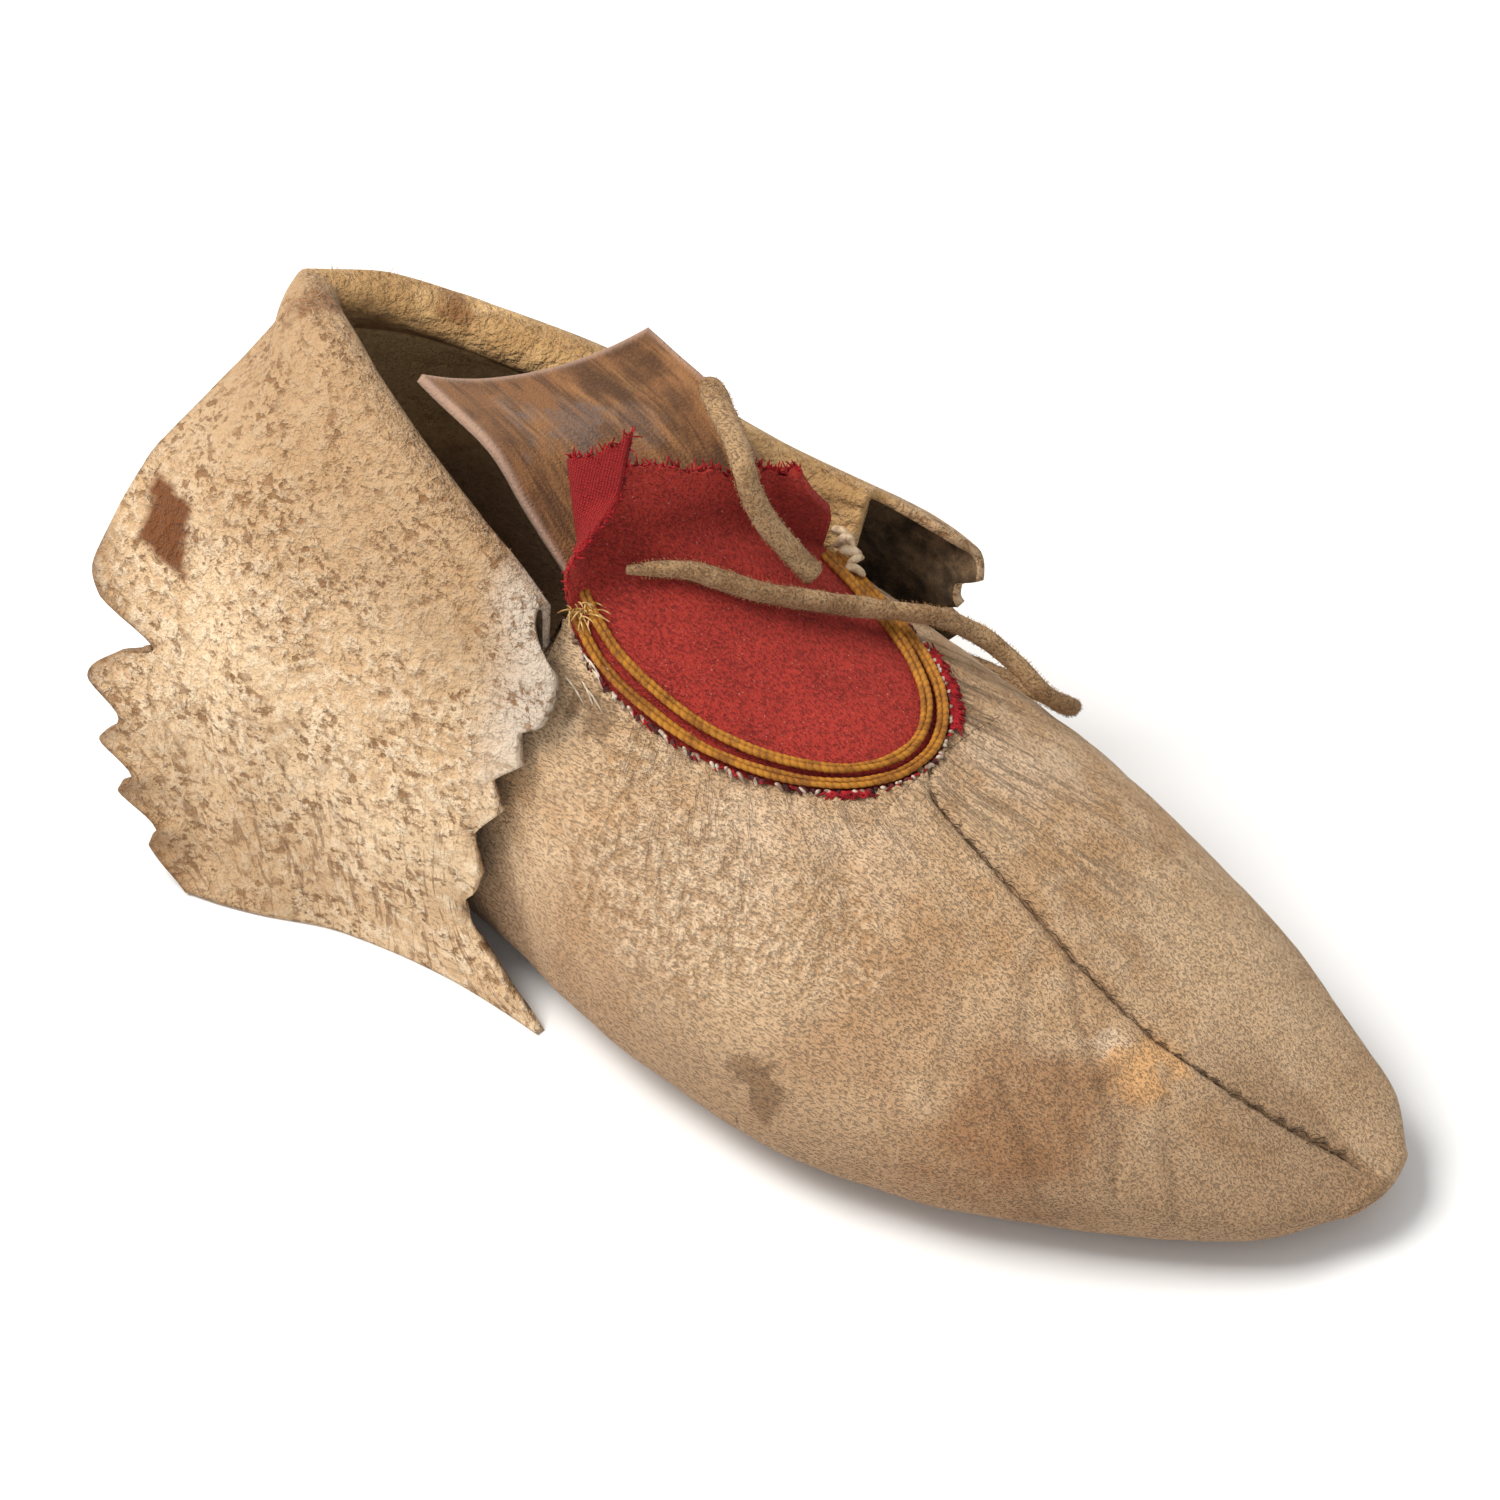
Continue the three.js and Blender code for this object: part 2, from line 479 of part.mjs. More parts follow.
function makeCuff() {
  const points = [];
  const level = new Set();
  const add = (point) => points.push(point) - 1;
  const halves = {};
  for (const side of [-1, 1]) {
    const fold = side > 0 ? MEDIAL_FOLD : LATERAL_FOLD;
    const drape = side > 0 ? MEDIAL_DRAPE : LATERAL_DRAPE;
    const frontTeeth = straightColumn(FRONT_TEETH, 'fall', 'out');
    const rearTeeth = straightColumn(REAR_TEETH, 'fall', 'out');
    const foldX = smoothColumn(fold, 'along', 'x');
    const foldY = smoothColumn(fold, 'along', 'y');
    const foldZ = smoothColumn(fold, 'along', 'z');
    const crest = (along) => new THREE.Vector3(
      foldX(along) * FOOT_LENGTH,
      foldY(along) * BALL_WIDTH,
      foldZ(along) * HEEL_HEIGHT,
    );
    const rim = rimCurve(side);
    const columns = [];
    for (let i = 0; i <= CUFF_COLUMNS; i += 1) {
      const along = i / CUFF_COLUMNS;
      const top = crest(along);
      const ahead = crest(Math.min(along + 0.01, 1)).sub(crest(Math.max(along - 0.01, 0)));
      const outward = new THREE.Vector3(ahead.y, -ahead.x, 0).normalize().multiplyScalar(side);
      if (i === CUFF_COLUMNS) outward.set(-1, 0, 0);
      const axis = top.clone();
      const radius = THREE.MathUtils.lerp(CUFF_END_RADIUS, CUFF_ROLL_RADIUS, Math.min(3 * along, 1));
      axis.z -= radius;
      const inner = axis.clone().addScaledVector(outward, -radius);
      const seam = rim.getPointAt(along);
      const inwards = outward.clone().multiplyScalar(-HIDE_WALL / 2);
      seam.add(inwards);
      seam.z += CUFF_SEAM_GAP;
      const column = [];
      for (let j = 0; j < SEAM_ROWS; j += 1) {
        const lift = seam.clone().lerp(inner, j / SEAM_ROWS);
        column.push(add(lift));
        if (j === 0) level.add(column[0]);
      }
      const rolled = (angle) => {
        const point = axis.clone().addScaledVector(outward, -radius * Math.cos(angle));
        point.z += radius * Math.sin(angle);
        return point;
      };
      for (let j = 0; j <= ROLL_STEPS; j += 1) column.push(add(rolled((ROLL_ANGLE * j) / ROLL_STEPS)));
      const edge = rolled(ROLL_ANGLE);
      const slope = Math.sin(ROLL_ANGLE) / -Math.cos(ROLL_ANGLE);
      const hem = edge.z - CUFF_FLOOR_CLEARANCE;
      FLAP_FALLS.forEach((fall, j) => {
        const teeth = i === 0 ? frontTeeth(fall) : i === CUFF_COLUMNS ? -rearTeeth(fall) : 0;
        const x = (drapeValue(drape, along, fall, 'x') + teeth) * FOOT_LENGTH;
        const z = edge.z - hem * fall;
        const beside = Math.max(x, stationX(0.1));
        const y = skinSide(beside, z, side) + side * drapeValue(drape, along, fall, 'off') * BALL_WIDTH;
        const hung = new THREE.Vector3(x, y, z);
        const carried = edge.clone().addScaledVector(outward, slope * hem * fall).setZ(z);
        const settle = Math.min(fall / CUFF_SETTLED, 1);
        const point = carried.clone().lerp(hung, settle * settle * (3 - 2 * settle));
        point.x = THREE.MathUtils.lerp(carried.x, hung.x, Math.min((3 * fall) / CUFF_SETTLED, 1));
        column.push(add(point));
        if (j === FLAP_FALLS.length - 1) level.add(column.at(-1));
      });
      columns.push(column);
    }
    halves[side] = columns;
  }
  const shared = SEAM_ROWS + ROLL_STEPS + 1;
  for (let j = 0; j < shared; j += 1) halves[1].at(-1)[j] = halves[-1].at(-1)[j];
  const quads = [...gridQuads(halves[-1]), ...gridQuads([...halves[1]].reverse())];
  return sheet(points, quads, CUFF_WALL, { level });
}

// Vamp cloth: it fills the U, then stands up as a flap behind it

const CLOTH_EDGE_SUNK = 1.2;
const CLOTH_DOME = 0.9;
const CLOTH_BEHIND_RIM = 4.5;
const CURL_RADIUS = 2.2;
const CURL = { lateral: { place: -0.62, margin: 11, turn: 2.5 }, medial: { place: 0.7, margin: 4.5, turn: 0.6 } };
const CLOTH_PLACES = [-1, -0.93, -0.86, -0.79, -0.71, -0.62, -0.42, -0.2, 0, 0.24, 0.48, 0.7, 0.78, 0.85, 0.92, 1];
const CLOTH_ROUND_ROWS = 8;
const CLOTH_STRAIGHT_ROWS = 3;
const FLAP_ROWS = 6;

// Free top edge of the flap between its two curled margins: place is the share of the half width,
// x a share of the foot length from the middle, y of the ball width, z of the heel height.
const FLAP_TOP = table(['place', 'x', 'y', 'z'], [
  [-0.62, -0.176, -0.082, 1.011], [-0.20, -0.136, 0.000, 0.990], [0.24, -0.106, 0.110, 0.933],
  [0.70, -0.086, 0.190, 0.918],
]);

// Line across the foot where the cloth leaves the U; the lateral end lies further back.
function throatBack(y) {
  const lateral = rimFront(-1) - CLOTH_BEHIND_RIM;
  const medial = rimFront(1) - CLOTH_BEHIND_RIM;
  return lateral + ((medial - lateral) * (y - THROAT_CENTRE + THROAT_HALF_WIDTH)) / (2 * THROAT_HALF_WIDTH);
}

// A margin of cloth rolled up from its hinge: distance gone outwards and upwards after a length.
function curl(length, turn) {
  const bent = Math.min(length, CURL_RADIUS * turn);
  const angle = bent / CURL_RADIUS;
  const straight = length - bent;
  return {
    out: CURL_RADIUS * Math.sin(angle) + straight * Math.cos(angle),
    up: CURL_RADIUS * (1 - Math.cos(angle)) + straight * Math.sin(angle),
  };
}

function makeVampCloth() {
  const points = [];
  const upright = new Set();
  const rows = [];
  const lay = (place, x, half) => {
    const y = throatMiddle(x) + place * half;
    const ahead = Math.max((x - throatStart) / THROAT_ROUND, 0);
    const dome = CLOTH_DOME * (1 - place * place) * (1 - ahead * ahead);
    points.push(new THREE.Vector3(x, y, skinTop(x, y) - CLOTH_EDGE_SUNK - CLOTH_WALL / 2 + dome));
    upright.add(points.length - 1);
    return points.length - 1;
  };
  for (let j = 0; j <= CLOTH_ROUND_ROWS; j += 1) {
    const angle = (Math.PI / 2) * (0.05 + (0.95 * j) / CLOTH_ROUND_ROWS);
    const x = throatStart + (THROAT_ROUND - SEAM_GAP) * Math.cos(angle);
    rows.push(CLOTH_PLACES.map((place) => lay(place, x, throatHalf(x, SEAM_GAP))));
  }
  for (let j = 1; j <= CLOTH_STRAIGHT_ROWS; j += 1) {
    rows.push(CLOTH_PLACES.map((place) => {
      const back = throatBack(THROAT_CENTRE + place * THROAT_HALF_WIDTH);
      const x = THREE.MathUtils.lerp(throatStart, back, j / CLOTH_STRAIGHT_ROWS);
      return lay(place, x, throatHalf(x, SEAM_GAP));
    }));
  }
  const foot = rows.at(-1).map((i) => points[i]);
  const top = ['x', 'y', 'z'].map((name) => smoothColumn(FLAP_TOP, 'place', name));
  const topAt = (place) => new THREE.Vector3(
    top[0](place) * FOOT_LENGTH,
    top[1](place) * BALL_WIDTH,
    top[2](place) * HEEL_HEIGHT,
  );
  const hingeFoot = (margin) => foot[CLOTH_PLACES.indexOf(margin.place)];
  for (let j = 1; j <= FLAP_ROWS; j += 1) {
    const up = j / FLAP_ROWS;
    const at = (margin) => hingeFoot(margin).clone().lerp(topAt(margin.place), up);
    const across = at(CURL.medial).sub(at(CURL.lateral)).normalize();
    const rise = topAt(0).sub(foot[CLOTH_PLACES.indexOf(0)]).normalize();
    const front = across.clone().cross(rise).normalize();
    rows.push(CLOTH_PLACES.map((place, i) => {
      const margin = place < CURL.lateral.place ? CURL.lateral : CURL.medial;
      let point = foot[i].clone().lerp(topAt(place), up);
      if (place < CURL.lateral.place || place > CURL.medial.place) {
        const share = (Math.abs(place) - Math.abs(margin.place)) / (1 - Math.abs(margin.place));
        const spread = THREE.MathUtils.lerp(foot[i].distanceTo(hingeFoot(margin)), share * margin.margin, up);
        const rolled = curl(spread, margin.turn * Math.min(up * 1.5, 1) + 0.01);
        point = at(margin).addScaledVector(across, Math.sign(place) * rolled.out).addScaledVector(front, rolled.up);
      }
      points.push(point);
      return points.length - 1;
    }));
  }
  return sheet(points, gridQuads(rows), CLOTH_WALL, { upright });
}

// Wrapped rows round the U, lying on the cloth's edge

const EDGING_RAISED = 0.9;
const EDGING_STEPS = 30;
const EDGING_PITCH = 1.1;
const EDGING_END_CLEAR = 1.8;

function makeEdging(row) {
  const inset = EDGING_WIDTH * (0.5 + EDGING_PITCH * row);
  const back = rimFront(-1) + EDGING_WIDTH / 4;
  const medialBack = throatBack(THROAT_CENTRE + THROAT_HALF_WIDTH) + EDGING_END_CLEAR * EDGING_WIDTH;
  const path = throatOutline(inset, back, medialBack).map(([x, y]) => (
    new THREE.Vector3(x, y, skinTop(x, y) + EDGING_RAISED)
  ));
  const curve = new THREE.CatmullRomCurve3(path, false, 'centripetal');
  return tube(curve, EDGING_WIDTH, EDGING_STEPS);
}

function tube(curve, diameter, steps) {
  const outline = new THREE.Shape();
  outline.absarc(0, 0, diameter / 2, 0, 2 * Math.PI, false);
  const geometry = new THREE.ExtrudeGeometry(outline, { steps, curveSegments: 4, extrudePath: curve });
  return geometry;
}

// Tongue: a cupped piece of suede that rises from behind the flap. Each row gives its two edges;
// x is a share of the foot length from the middle, y of the ball width, z of the heel height.
const TONGUE_ROWS = table(
  ['along', 'lateral_x', 'lateral_y', 'lateral_z', 'medial_x', 'medial_y', 'medial_z'],
  [
    [0.00, -0.158, -0.165, 0.785, -0.090, 0.240, 0.700],
    [0.15, -0.184, -0.160, 0.850, -0.120, 0.270, 0.760],
    [0.30, -0.205, -0.155, 0.900, -0.148, 0.295, 0.812],
    [0.60, -0.240, -0.145, 0.990, -0.195, 0.325, 0.870],
    [1.00, -0.316, -0.122, 1.043, -0.260, 0.340, 0.913],
  ],
);
const TONGUE_CUP = 5;
const TONGUE_STEPS = 8;

function makeTongue() {
  const points = [];
  const rows = [];
  const value = Object.fromEntries(
    Object.keys(TONGUE_ROWS[0]).slice(1).map((name) => [name, smoothColumn(TONGUE_ROWS, 'along', name)]),
  );
  const edge = (name, along) => new THREE.Vector3(
    value[`${name}_x`](along) * FOOT_LENGTH,
    value[`${name}_y`](along) * BALL_WIDTH,
    value[`${name}_z`](along) * HEEL_HEIGHT,
  );
  for (let j = 0; j <= TONGUE_STEPS; j += 1) {
    const along = j / TONGUE_STEPS;
    const lateral = edge('lateral', along);
    const medial = edge('medial', along);
    const row = [];
    for (let i = 0; i <= TONGUE_STEPS; i += 1) {
      const across = i / TONGUE_STEPS;
      const point = lateral.clone().lerp(medial, across);
      point.z -= TONGUE_CUP * 4 * across * (1 - across) * along;
      row.push(points.push(point) - 1);
    }
    rows.push(row);
  }
  return sheet(points, gridQuads(rows), TONGUE_WALL);
}

// The hide tie: two strands, each a route of points laid by hand in millimetres

const THONG_INNER_ROUTE = [
  [-45.5, 29.5, 89.2], [-40, 25.5, 90.6], [-34, 21, 92], [-27, 15.5, 94.5], [-21.5, 11, 95.5],
  [-18.5, 9.5, 91.5], [-15, 9.5, 86.5], [-11.5, 11, 81.3], [-7.6, 12.8, 76],
];
const THONG_OUTER_ROUTE = [
  [-8, 43.6, 36], [0, 44.6, 36], [8, 45, 36.5], [18, 44.4, 38.5], [26, 41.8, 42], [29.5, 38, 47], [27, 34, 51.8],
  [22, 33.5, 55.5], [15, 31.5, 60.5], [9.5, 26, 66], [2, 18, 69.6], [-5, 9, 74.2], [-12, 1, 78.8], [-21, -6, 83.4],
  [-28, -13.5, 84.8],
];
const THONG_STEP = 1.6;

function makeThong(route) {
  const curve = new THREE.CatmullRomCurve3(route.map((p) => new THREE.Vector3(...p)), false, 'centripetal');
  return tube(curve, THONG_DIAMETER, Math.round(curve.getLength() / (THONG_STEP * THONG_DIAMETER)));
}

const palette = {
  buckskin: { color: 0xc9ae86, roughness: 0.95, metalness: 0 },
  speckled_hide: { color: 0xd8c29a, roughness: 0.9, metalness: 0 },
  red_cloth: { color: 0x9c2a2a, roughness: 1, metalness: 0 },
  ochre_thread: { color: 0xa8741c, roughness: 0.8, metalness: 0 },
  brown_suede: { color: 0x7a5a40, roughness: 0.95, metalness: 0 },
  tie_hide: { color: 0xa07c52, roughness: 0.95, metalness: 0 },
};

const moccasin = new THREE.Group();
function place(name, geometry, finish) {
  const mesh = new THREE.Mesh(geometry, new THREE.MeshStandardMaterial(palette[finish]));
  mesh.name = name;
  moccasin.add(mesh);
}

place('moccasin_body', makeBody(), 'buckskin');
place('ankle_cuff', makeCuff(), 'speckled_hide');
place('vamp_cloth', makeVampCloth(), 'red_cloth');
place('quill_edging_outer', makeEdging(0), 'ochre_thread');
place('quill_edging_inner', makeEdging(1), 'ochre_thread');
place('tongue', makeTongue(), 'brown_suede');
place('thong_inner', makeThong(THONG_INNER_ROUTE), 'tie_hide');
place('thong_outer', makeThong(THONG_OUTER_ROUTE), 'tie_hide');

export default moccasin;
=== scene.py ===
"""A soft-soled hide moccasin for the right foot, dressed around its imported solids.

Lengths in the tables are millimetres in the shoe's own frame: +x to the toe, +y to the inner side
of the foot, +z up. MM turns them into metres where a mesh is made.
"""

import bmesh
import bpy
import numpy as np
from mathutils import Matrix, Vector


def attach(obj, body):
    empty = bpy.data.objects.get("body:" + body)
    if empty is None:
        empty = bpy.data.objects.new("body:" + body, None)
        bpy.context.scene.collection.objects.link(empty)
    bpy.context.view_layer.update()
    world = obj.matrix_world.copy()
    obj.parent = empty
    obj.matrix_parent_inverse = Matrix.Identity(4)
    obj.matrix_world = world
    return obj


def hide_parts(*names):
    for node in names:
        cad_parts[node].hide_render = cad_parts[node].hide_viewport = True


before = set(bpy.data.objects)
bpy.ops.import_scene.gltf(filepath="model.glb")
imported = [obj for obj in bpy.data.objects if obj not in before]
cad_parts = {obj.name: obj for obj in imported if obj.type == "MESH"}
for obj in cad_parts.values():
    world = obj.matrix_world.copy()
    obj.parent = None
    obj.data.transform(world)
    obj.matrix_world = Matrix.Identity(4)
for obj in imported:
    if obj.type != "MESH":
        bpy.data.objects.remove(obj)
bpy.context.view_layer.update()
MM = 0.001
# Points of a mesh nearer to each other than this, in metres, are merged.
DOUBLED = 1e-7

# Camera, light and floor: a long lens looks down on the shoe's outer side and toe, under a wide soft
# light, on a plain pale floor.

CAMERA_PLACE = Vector((0.64868, -0.74396, 1.00370))
CAMERA_AIM = Vector((-0.0128, -0.0003, 0.0400))
CAMERA_UP = Vector((-0.4112, 0.5279, 0.7431))
CAMERA_LENS = 186.0

camera_data = bpy.data.cameras.new("camera")
camera = bpy.data.objects.new("camera", camera_data)
bpy.context.scene.collection.objects.link(camera)
toward = (CAMERA_AIM - CAMERA_PLACE).normalized()
upward = (CAMERA_UP - toward * CAMERA_UP.dot(toward)).normalized()
turned = Matrix((toward.cross(upward), upward, -toward)).transposed().to_4x4()
camera.matrix_world = Matrix.Translation(CAMERA_PLACE) @ turned
camera_data.lens = CAMERA_LENS
camera_data.sensor_width = 36.0
camera_data.clip_end = 20.0
bpy.context.scene.camera = camera
bpy.context.scene.view_settings.view_transform = "Standard"

world = bpy.data.worlds.new("studio")
bpy.context.scene.world = world
world.use_nodes = True
world.node_tree.nodes["Background"].inputs["Color"].default_value = (0.97, 0.985, 1.0, 1.0)
world.node_tree.nodes["Background"].inputs["Strength"].default_value = 0.52


def soft_light(name, place, size, power, colour):
    """An area light at a place, aimed at the shoe."""
    data = bpy.data.lights.new(name, "AREA")
    data.size = size
    data.energy = power
    data.color = colour
    light = bpy.data.objects.new(name, data)
    light.matrix_world = (
        Matrix.Translation(place) @ (Vector(place) - CAMERA_AIM).to_track_quat("Z", "Y").to_matrix().to_4x4()
    )
    bpy.context.scene.collection.objects.link(light)


soft_light("light_over", (-0.7, -0.45, 1.35), 0.9, 27.0, (1.0, 0.975, 0.93))
soft_light("light_side", (1.1, -0.9, 0.7), 0.9, 2.0, (1.0, 0.99, 0.97))

floor_mesh = bpy.data.meshes.new("floor")
FLOOR_HALF = 6.0
floor_mesh.from_pydata(
    [(x * FLOOR_HALF, y * FLOOR_HALF, 0.0) for x, y in ((-1, -1), (1, -1), (1, 1), (-1, 1))],
    [],
    [(0, 1, 2, 3)],
)
floor = bpy.data.objects.new("floor", floor_mesh)
bpy.context.scene.collection.objects.link(floor)
floor_material = bpy.data.materials.new("pale_floor")
floor_material.use_nodes = True
floor_material.node_tree.nodes["Principled BSDF"].inputs["Base Color"].default_value = (0.93, 0.93, 0.93, 1)
floor_material.node_tree.nodes["Principled BSDF"].inputs["Roughness"].default_value = 0.9
floor_mesh.materials.append(floor_material)


# Hide tie: two strands of soft brown-beige hide cut as a narrow strip and rolled thin by use. One
# comes out under the cuff's front corner and crosses the cloth, the other stands up to the tongue.

INNER_ROUTE = [
    (-45.5, 29.5, 89.2), (-40, 25.5, 90.6), (-34, 21, 92), (-27, 15.5, 94.5), (-21.5, 11, 95.5),
    (-18.5, 9.5, 91.5), (-15, 9.5, 86.5), (-11.5, 11, 81.3), (-7.6, 12.8, 76),
]
OUTER_ROUTE = [
    (-8, 43.6, 36), (0, 44.6, 36), (8, 45, 36.5), (18, 44.4, 38.5), (26, 41.8, 42), (29.5, 38, 47),
    (27, 34, 51.8), (22, 33.5, 55.5), (15, 31.5, 60.5), (9.5, 26, 66), (2, 18, 69.6), (-5, 9, 74.2),
    (-12, 1, 78.8), (-21, -6, 83.4), (-28, -13.5, 84.8),
]
# Along each strand: share of its length, half width and half thickness.
INNER_WIDTHS = [(0, 1.2, 1.1), (0.03, 2.1, 1.8), (0.12, 2.5, 2.1), (0.5, 2.3, 1.8), (1, 2.2, 1.7)]
OUTER_WIDTHS = [
    (0, 1.7, 1.4), (0.3, 1.9, 1.5), (0.5, 2.0, 1.6), (0.85, 2.25, 1.7), (0.96, 1.8, 1.4), (1, 1.0, 0.9),
]


def smooth(value, xs, ys):
    """Monotone cubic through (xs, ys): each inner slope is the harmonic mean of its two chords."""
    xs = np.asarray(xs, float)
    ys = np.asarray(ys, float)
    chord = np.diff(ys) / np.diff(xs)
    before, after = chord[:-1], chord[1:]
    both = before * after
    inner = np.where(both > 0, 2 * both / np.where(both > 0, before + after, 1), 0)
    slope = np.concatenate([chord[:1], inner, chord[-1:]])
    t = np.clip(value, xs[0], xs[-1])
    i = np.clip(np.searchsorted(xs, t, side="right") - 1, 0, len(xs) - 2)
    h = xs[i + 1] - xs[i]
    k = (t - xs[i]) / h
    return (
        ys[i] * (1 + 2 * k) * (1 - k) ** 2
        + h * slope[i] * k * (1 - k) ** 2
        + ys[i + 1] * k * k * (3 - 2 * k)
        + h * slope[i + 1] * k * k * (k - 1)
    )


def unit(vectors):
    """Each vector divided by its length."""
    return vectors / np.maximum(np.linalg.norm(vectors, axis=-1, keepdims=True), 1e-9)


def columns_at(table, at):
    """The later columns of a table, smoothed at values of its first."""
    table = np.asarray(table, float)
    return np.stack([smooth(at, table[:, 0], column) for column in table.T[1:]], axis=-1)


def length_gone(lines):
    """Length gone along lines of points, 0 at the first point of each."""
    steps = np.linalg.norm(np.diff(lines, axis=-2), axis=-1)
    return np.concatenate([np.zeros_like(steps[..., :1]), np.cumsum(steps, axis=-1)], axis=-1)


def spots_along(line, gone, at):
    """Points of a line at lengths gone along it."""
    return np.stack([np.interp(at, gone, column) for column in line.T], axis=1)


def curve_through(points, count):
    """count points spread evenly along the centripetal Catmull-Rom spline through the given points."""
    p = np.asarray(points, float)
    p = np.vstack([2 * p[0] - p[1], p, 2 * p[-1] - p[-2]])
    knots = np.concatenate([[0], np.cumsum(np.linalg.norm(np.diff(p, axis=0), axis=1) ** 0.5)])
    t = np.linspace(knots[1], knots[-2], 40 * len(points))
    i = np.clip(np.searchsorted(knots, t, side="right") - 1, 1, len(p) - 3)
    near = [[knots[i + k], p[i + k]] for k in (-1, 0, 1, 2)]

    def mixed(a, b):
        share = ((t - a[0]) / (b[0] - a[0]))[:, None]
        return a[1] * (1 - share) + b[1] * share

    first = [mixed(near[k], near[k + 1]) for k in range(3)]
    second = [mixed([near[k][0], first[k]], [near[k + 2][0], first[k + 1]]) for k in range(2)]
    fine = mixed([near[1][0], second[0]], [near[2][0], second[1]])
    gone = length_gone(fine)
    return spots_along(fine, gone, np.linspace(0, gone[-1], count)), gone[-1]


# Large odd numbers that scatter neighbouring cells, and the highest number kept.
SCATTER = (374761393, 668265263, 2147483647, 1442695041, 1274126177)
HASH_TOP = 0xFFFFFF


def hashed(cells, seed):
    """A number from 0 to 1 for each whole-numbered cell, the same on every run."""
    mixed = cells[..., 0] * SCATTER[0] + cells[..., 1] * SCATTER[1] + cells[..., 2] * SCATTER[2]
    mixed = mixed + seed * SCATTER[3]
    mixed = (mixed ^ (mixed >> 13)) * SCATTER[4]
    mixed = (mixed ^ (mixed >> 16)) & HASH_TOP
    return mixed / float(HASH_TOP)


def lumps(points, size, seed):
    """Smooth noise from -1 to 1 at places in mm: values hashed on a lattice of that size, blended."""
    place = np.asarray(points, float) / size + 100.0
    cell = np.floor(place).astype(np.int64)
    part = place - cell
    part = part * part * (3 - 2 * part)
    total = 0
    for corner in np.ndindex(2, 2, 2):
        weight = np.prod(np.where(np.array(corner) == 1, part, 1 - part), axis=-1)
        total = total + weight * hashed(cell + np.array(corner), seed)
    return 2 * total - 1


def grid_faces(rows, columns, round_columns=False):
    """Quads of a grid whose point (i, j) is number i * columns + j; round columns join their ends."""
    i = np.arange(rows - 1)[:, None]
    j = np.arange(columns if round_columns else columns - 1)[None, :]
    beside = (j + 1) % columns
    quads = [i * columns + j, i * columns + beside, (i + 1) * columns + beside, (i + 1) * columns + j]
    return np.stack(quads, axis=-1).reshape(-1, 4)


def build_piece(name, points, faces, uv=None, masks=None, material=None):
    """A mesh object from an array of points in mm and of quads; uv and masks are given per point."""
    points = np.asarray(points, float).reshape(-1, 3)
    mesh = bpy.data.meshes.new(name)
    mesh.vertices.add(len(points))
    mesh.vertices.foreach_set("co", (points * MM).astype(np.float32).ravel())
    sides = faces.shape[1]
    mesh.loops.add(faces.size)
    mesh.loops.foreach_set("vertex_index", faces.ravel().astype(np.int32))
    mesh.polygons.add(len(faces))
    mesh.polygons.foreach_set("loop_start", np.arange(0, faces.size, sides, dtype=np.int32))
    mesh.update(calc_edges=True)
    mesh.validate()
    if uv is not None:
        layer = mesh.uv_layers.new(name="UVMap")
        layer.data.foreach_set("uv", np.asarray(uv, np.float32).reshape(-1, 2)[faces.ravel()].ravel())
    for mask_name, values in (masks or {}).items():
        mask = mesh.attributes.new(mask_name, "FLOAT", "POINT")
        mask.data.foreach_set("value", np.asarray(values, np.float32).ravel())
    mesh.shade_smooth()
    piece = bpy.data.objects.new(name, mesh)
    bpy.context.scene.collection.objects.link(piece)
    if material is not None:
        mesh.materials.append(material)
    return piece


def frames_along(path):
    """Tangent, side and up vectors of a path, carried along it with the least turning."""
    tangent = unit(np.gradient(path, axis=0))
    up = np.empty_like(path)
    up[0] = unit(np.cross(np.cross(tangent[0], (0.1, 0.2, 1.0)), tangent[0]))
    for i in range(1, len(path)):
        up[i] = unit(up[i - 1] - tangent[i] * np.dot(up[i - 1], tangent[i]))
    return tangent, np.cross(tangent, up), up


def closed_tube(path, half_width, half_thickness, around, wobble=0.0, seed=0, relief=0.0):
    """Rings of an ellipse carried along a path; a ring of no size closes each end. wobble roughens it
    and relief stands out from it, in mm."""
    tangent, side, up = frames_along(path)
    angle = np.linspace(0, 2 * np.pi, around, endpoint=False)[None, :, None]
    ring = (
        np.cos(angle) * half_width[:, None, None] * side[:, None]
        + np.sin(angle) * half_thickness[:, None, None] * up[:, None]
    )
    skin_points = path[:, None] + ring
    rough = lumps(skin_points, 1.6, seed) + 1.6 * lumps(skin_points, 5.0, seed + 1)
    skin_points = skin_points + unit(ring) * (wobble * rough + relief)[..., None]
    first = np.repeat((path[0] - tangent[0] * 0.25)[None, None], around, axis=1)
    last = np.repeat((path[-1] + tangent[-1] * 0.25)[None, None], around, axis=1)
    skin_points = np.concatenate([first, skin_points, last])
    return skin_points, grid_faces(len(skin_points), around, round_columns=True)


def close_mesh(piece):
    """Merges doubled points and turns every face outwards."""
    work = bmesh.new()
    work.from_mesh(piece.data)
    bmesh.ops.remove_doubles(work, verts=work.verts, dist=DOUBLED)
    bmesh.ops.recalc_face_normals(work, faces=work.faces)
    work.to_mesh(piece.data)
    work.free()


def node(tree, kind, **settings):
    """A node with its properties set by name, and its inputs by name or number."""
    made = tree.nodes.new(kind)
    inputs = settings.pop("inputs", {})
    for name, value in settings.items():
        setattr(made, name, value)
    for name, value in inputs.items():
        if isinstance(value, bpy.types.NodeSocket):
            tree.links.new(value, made.inputs[name])
        else:
            made.inputs[name].default_value = value
    return made


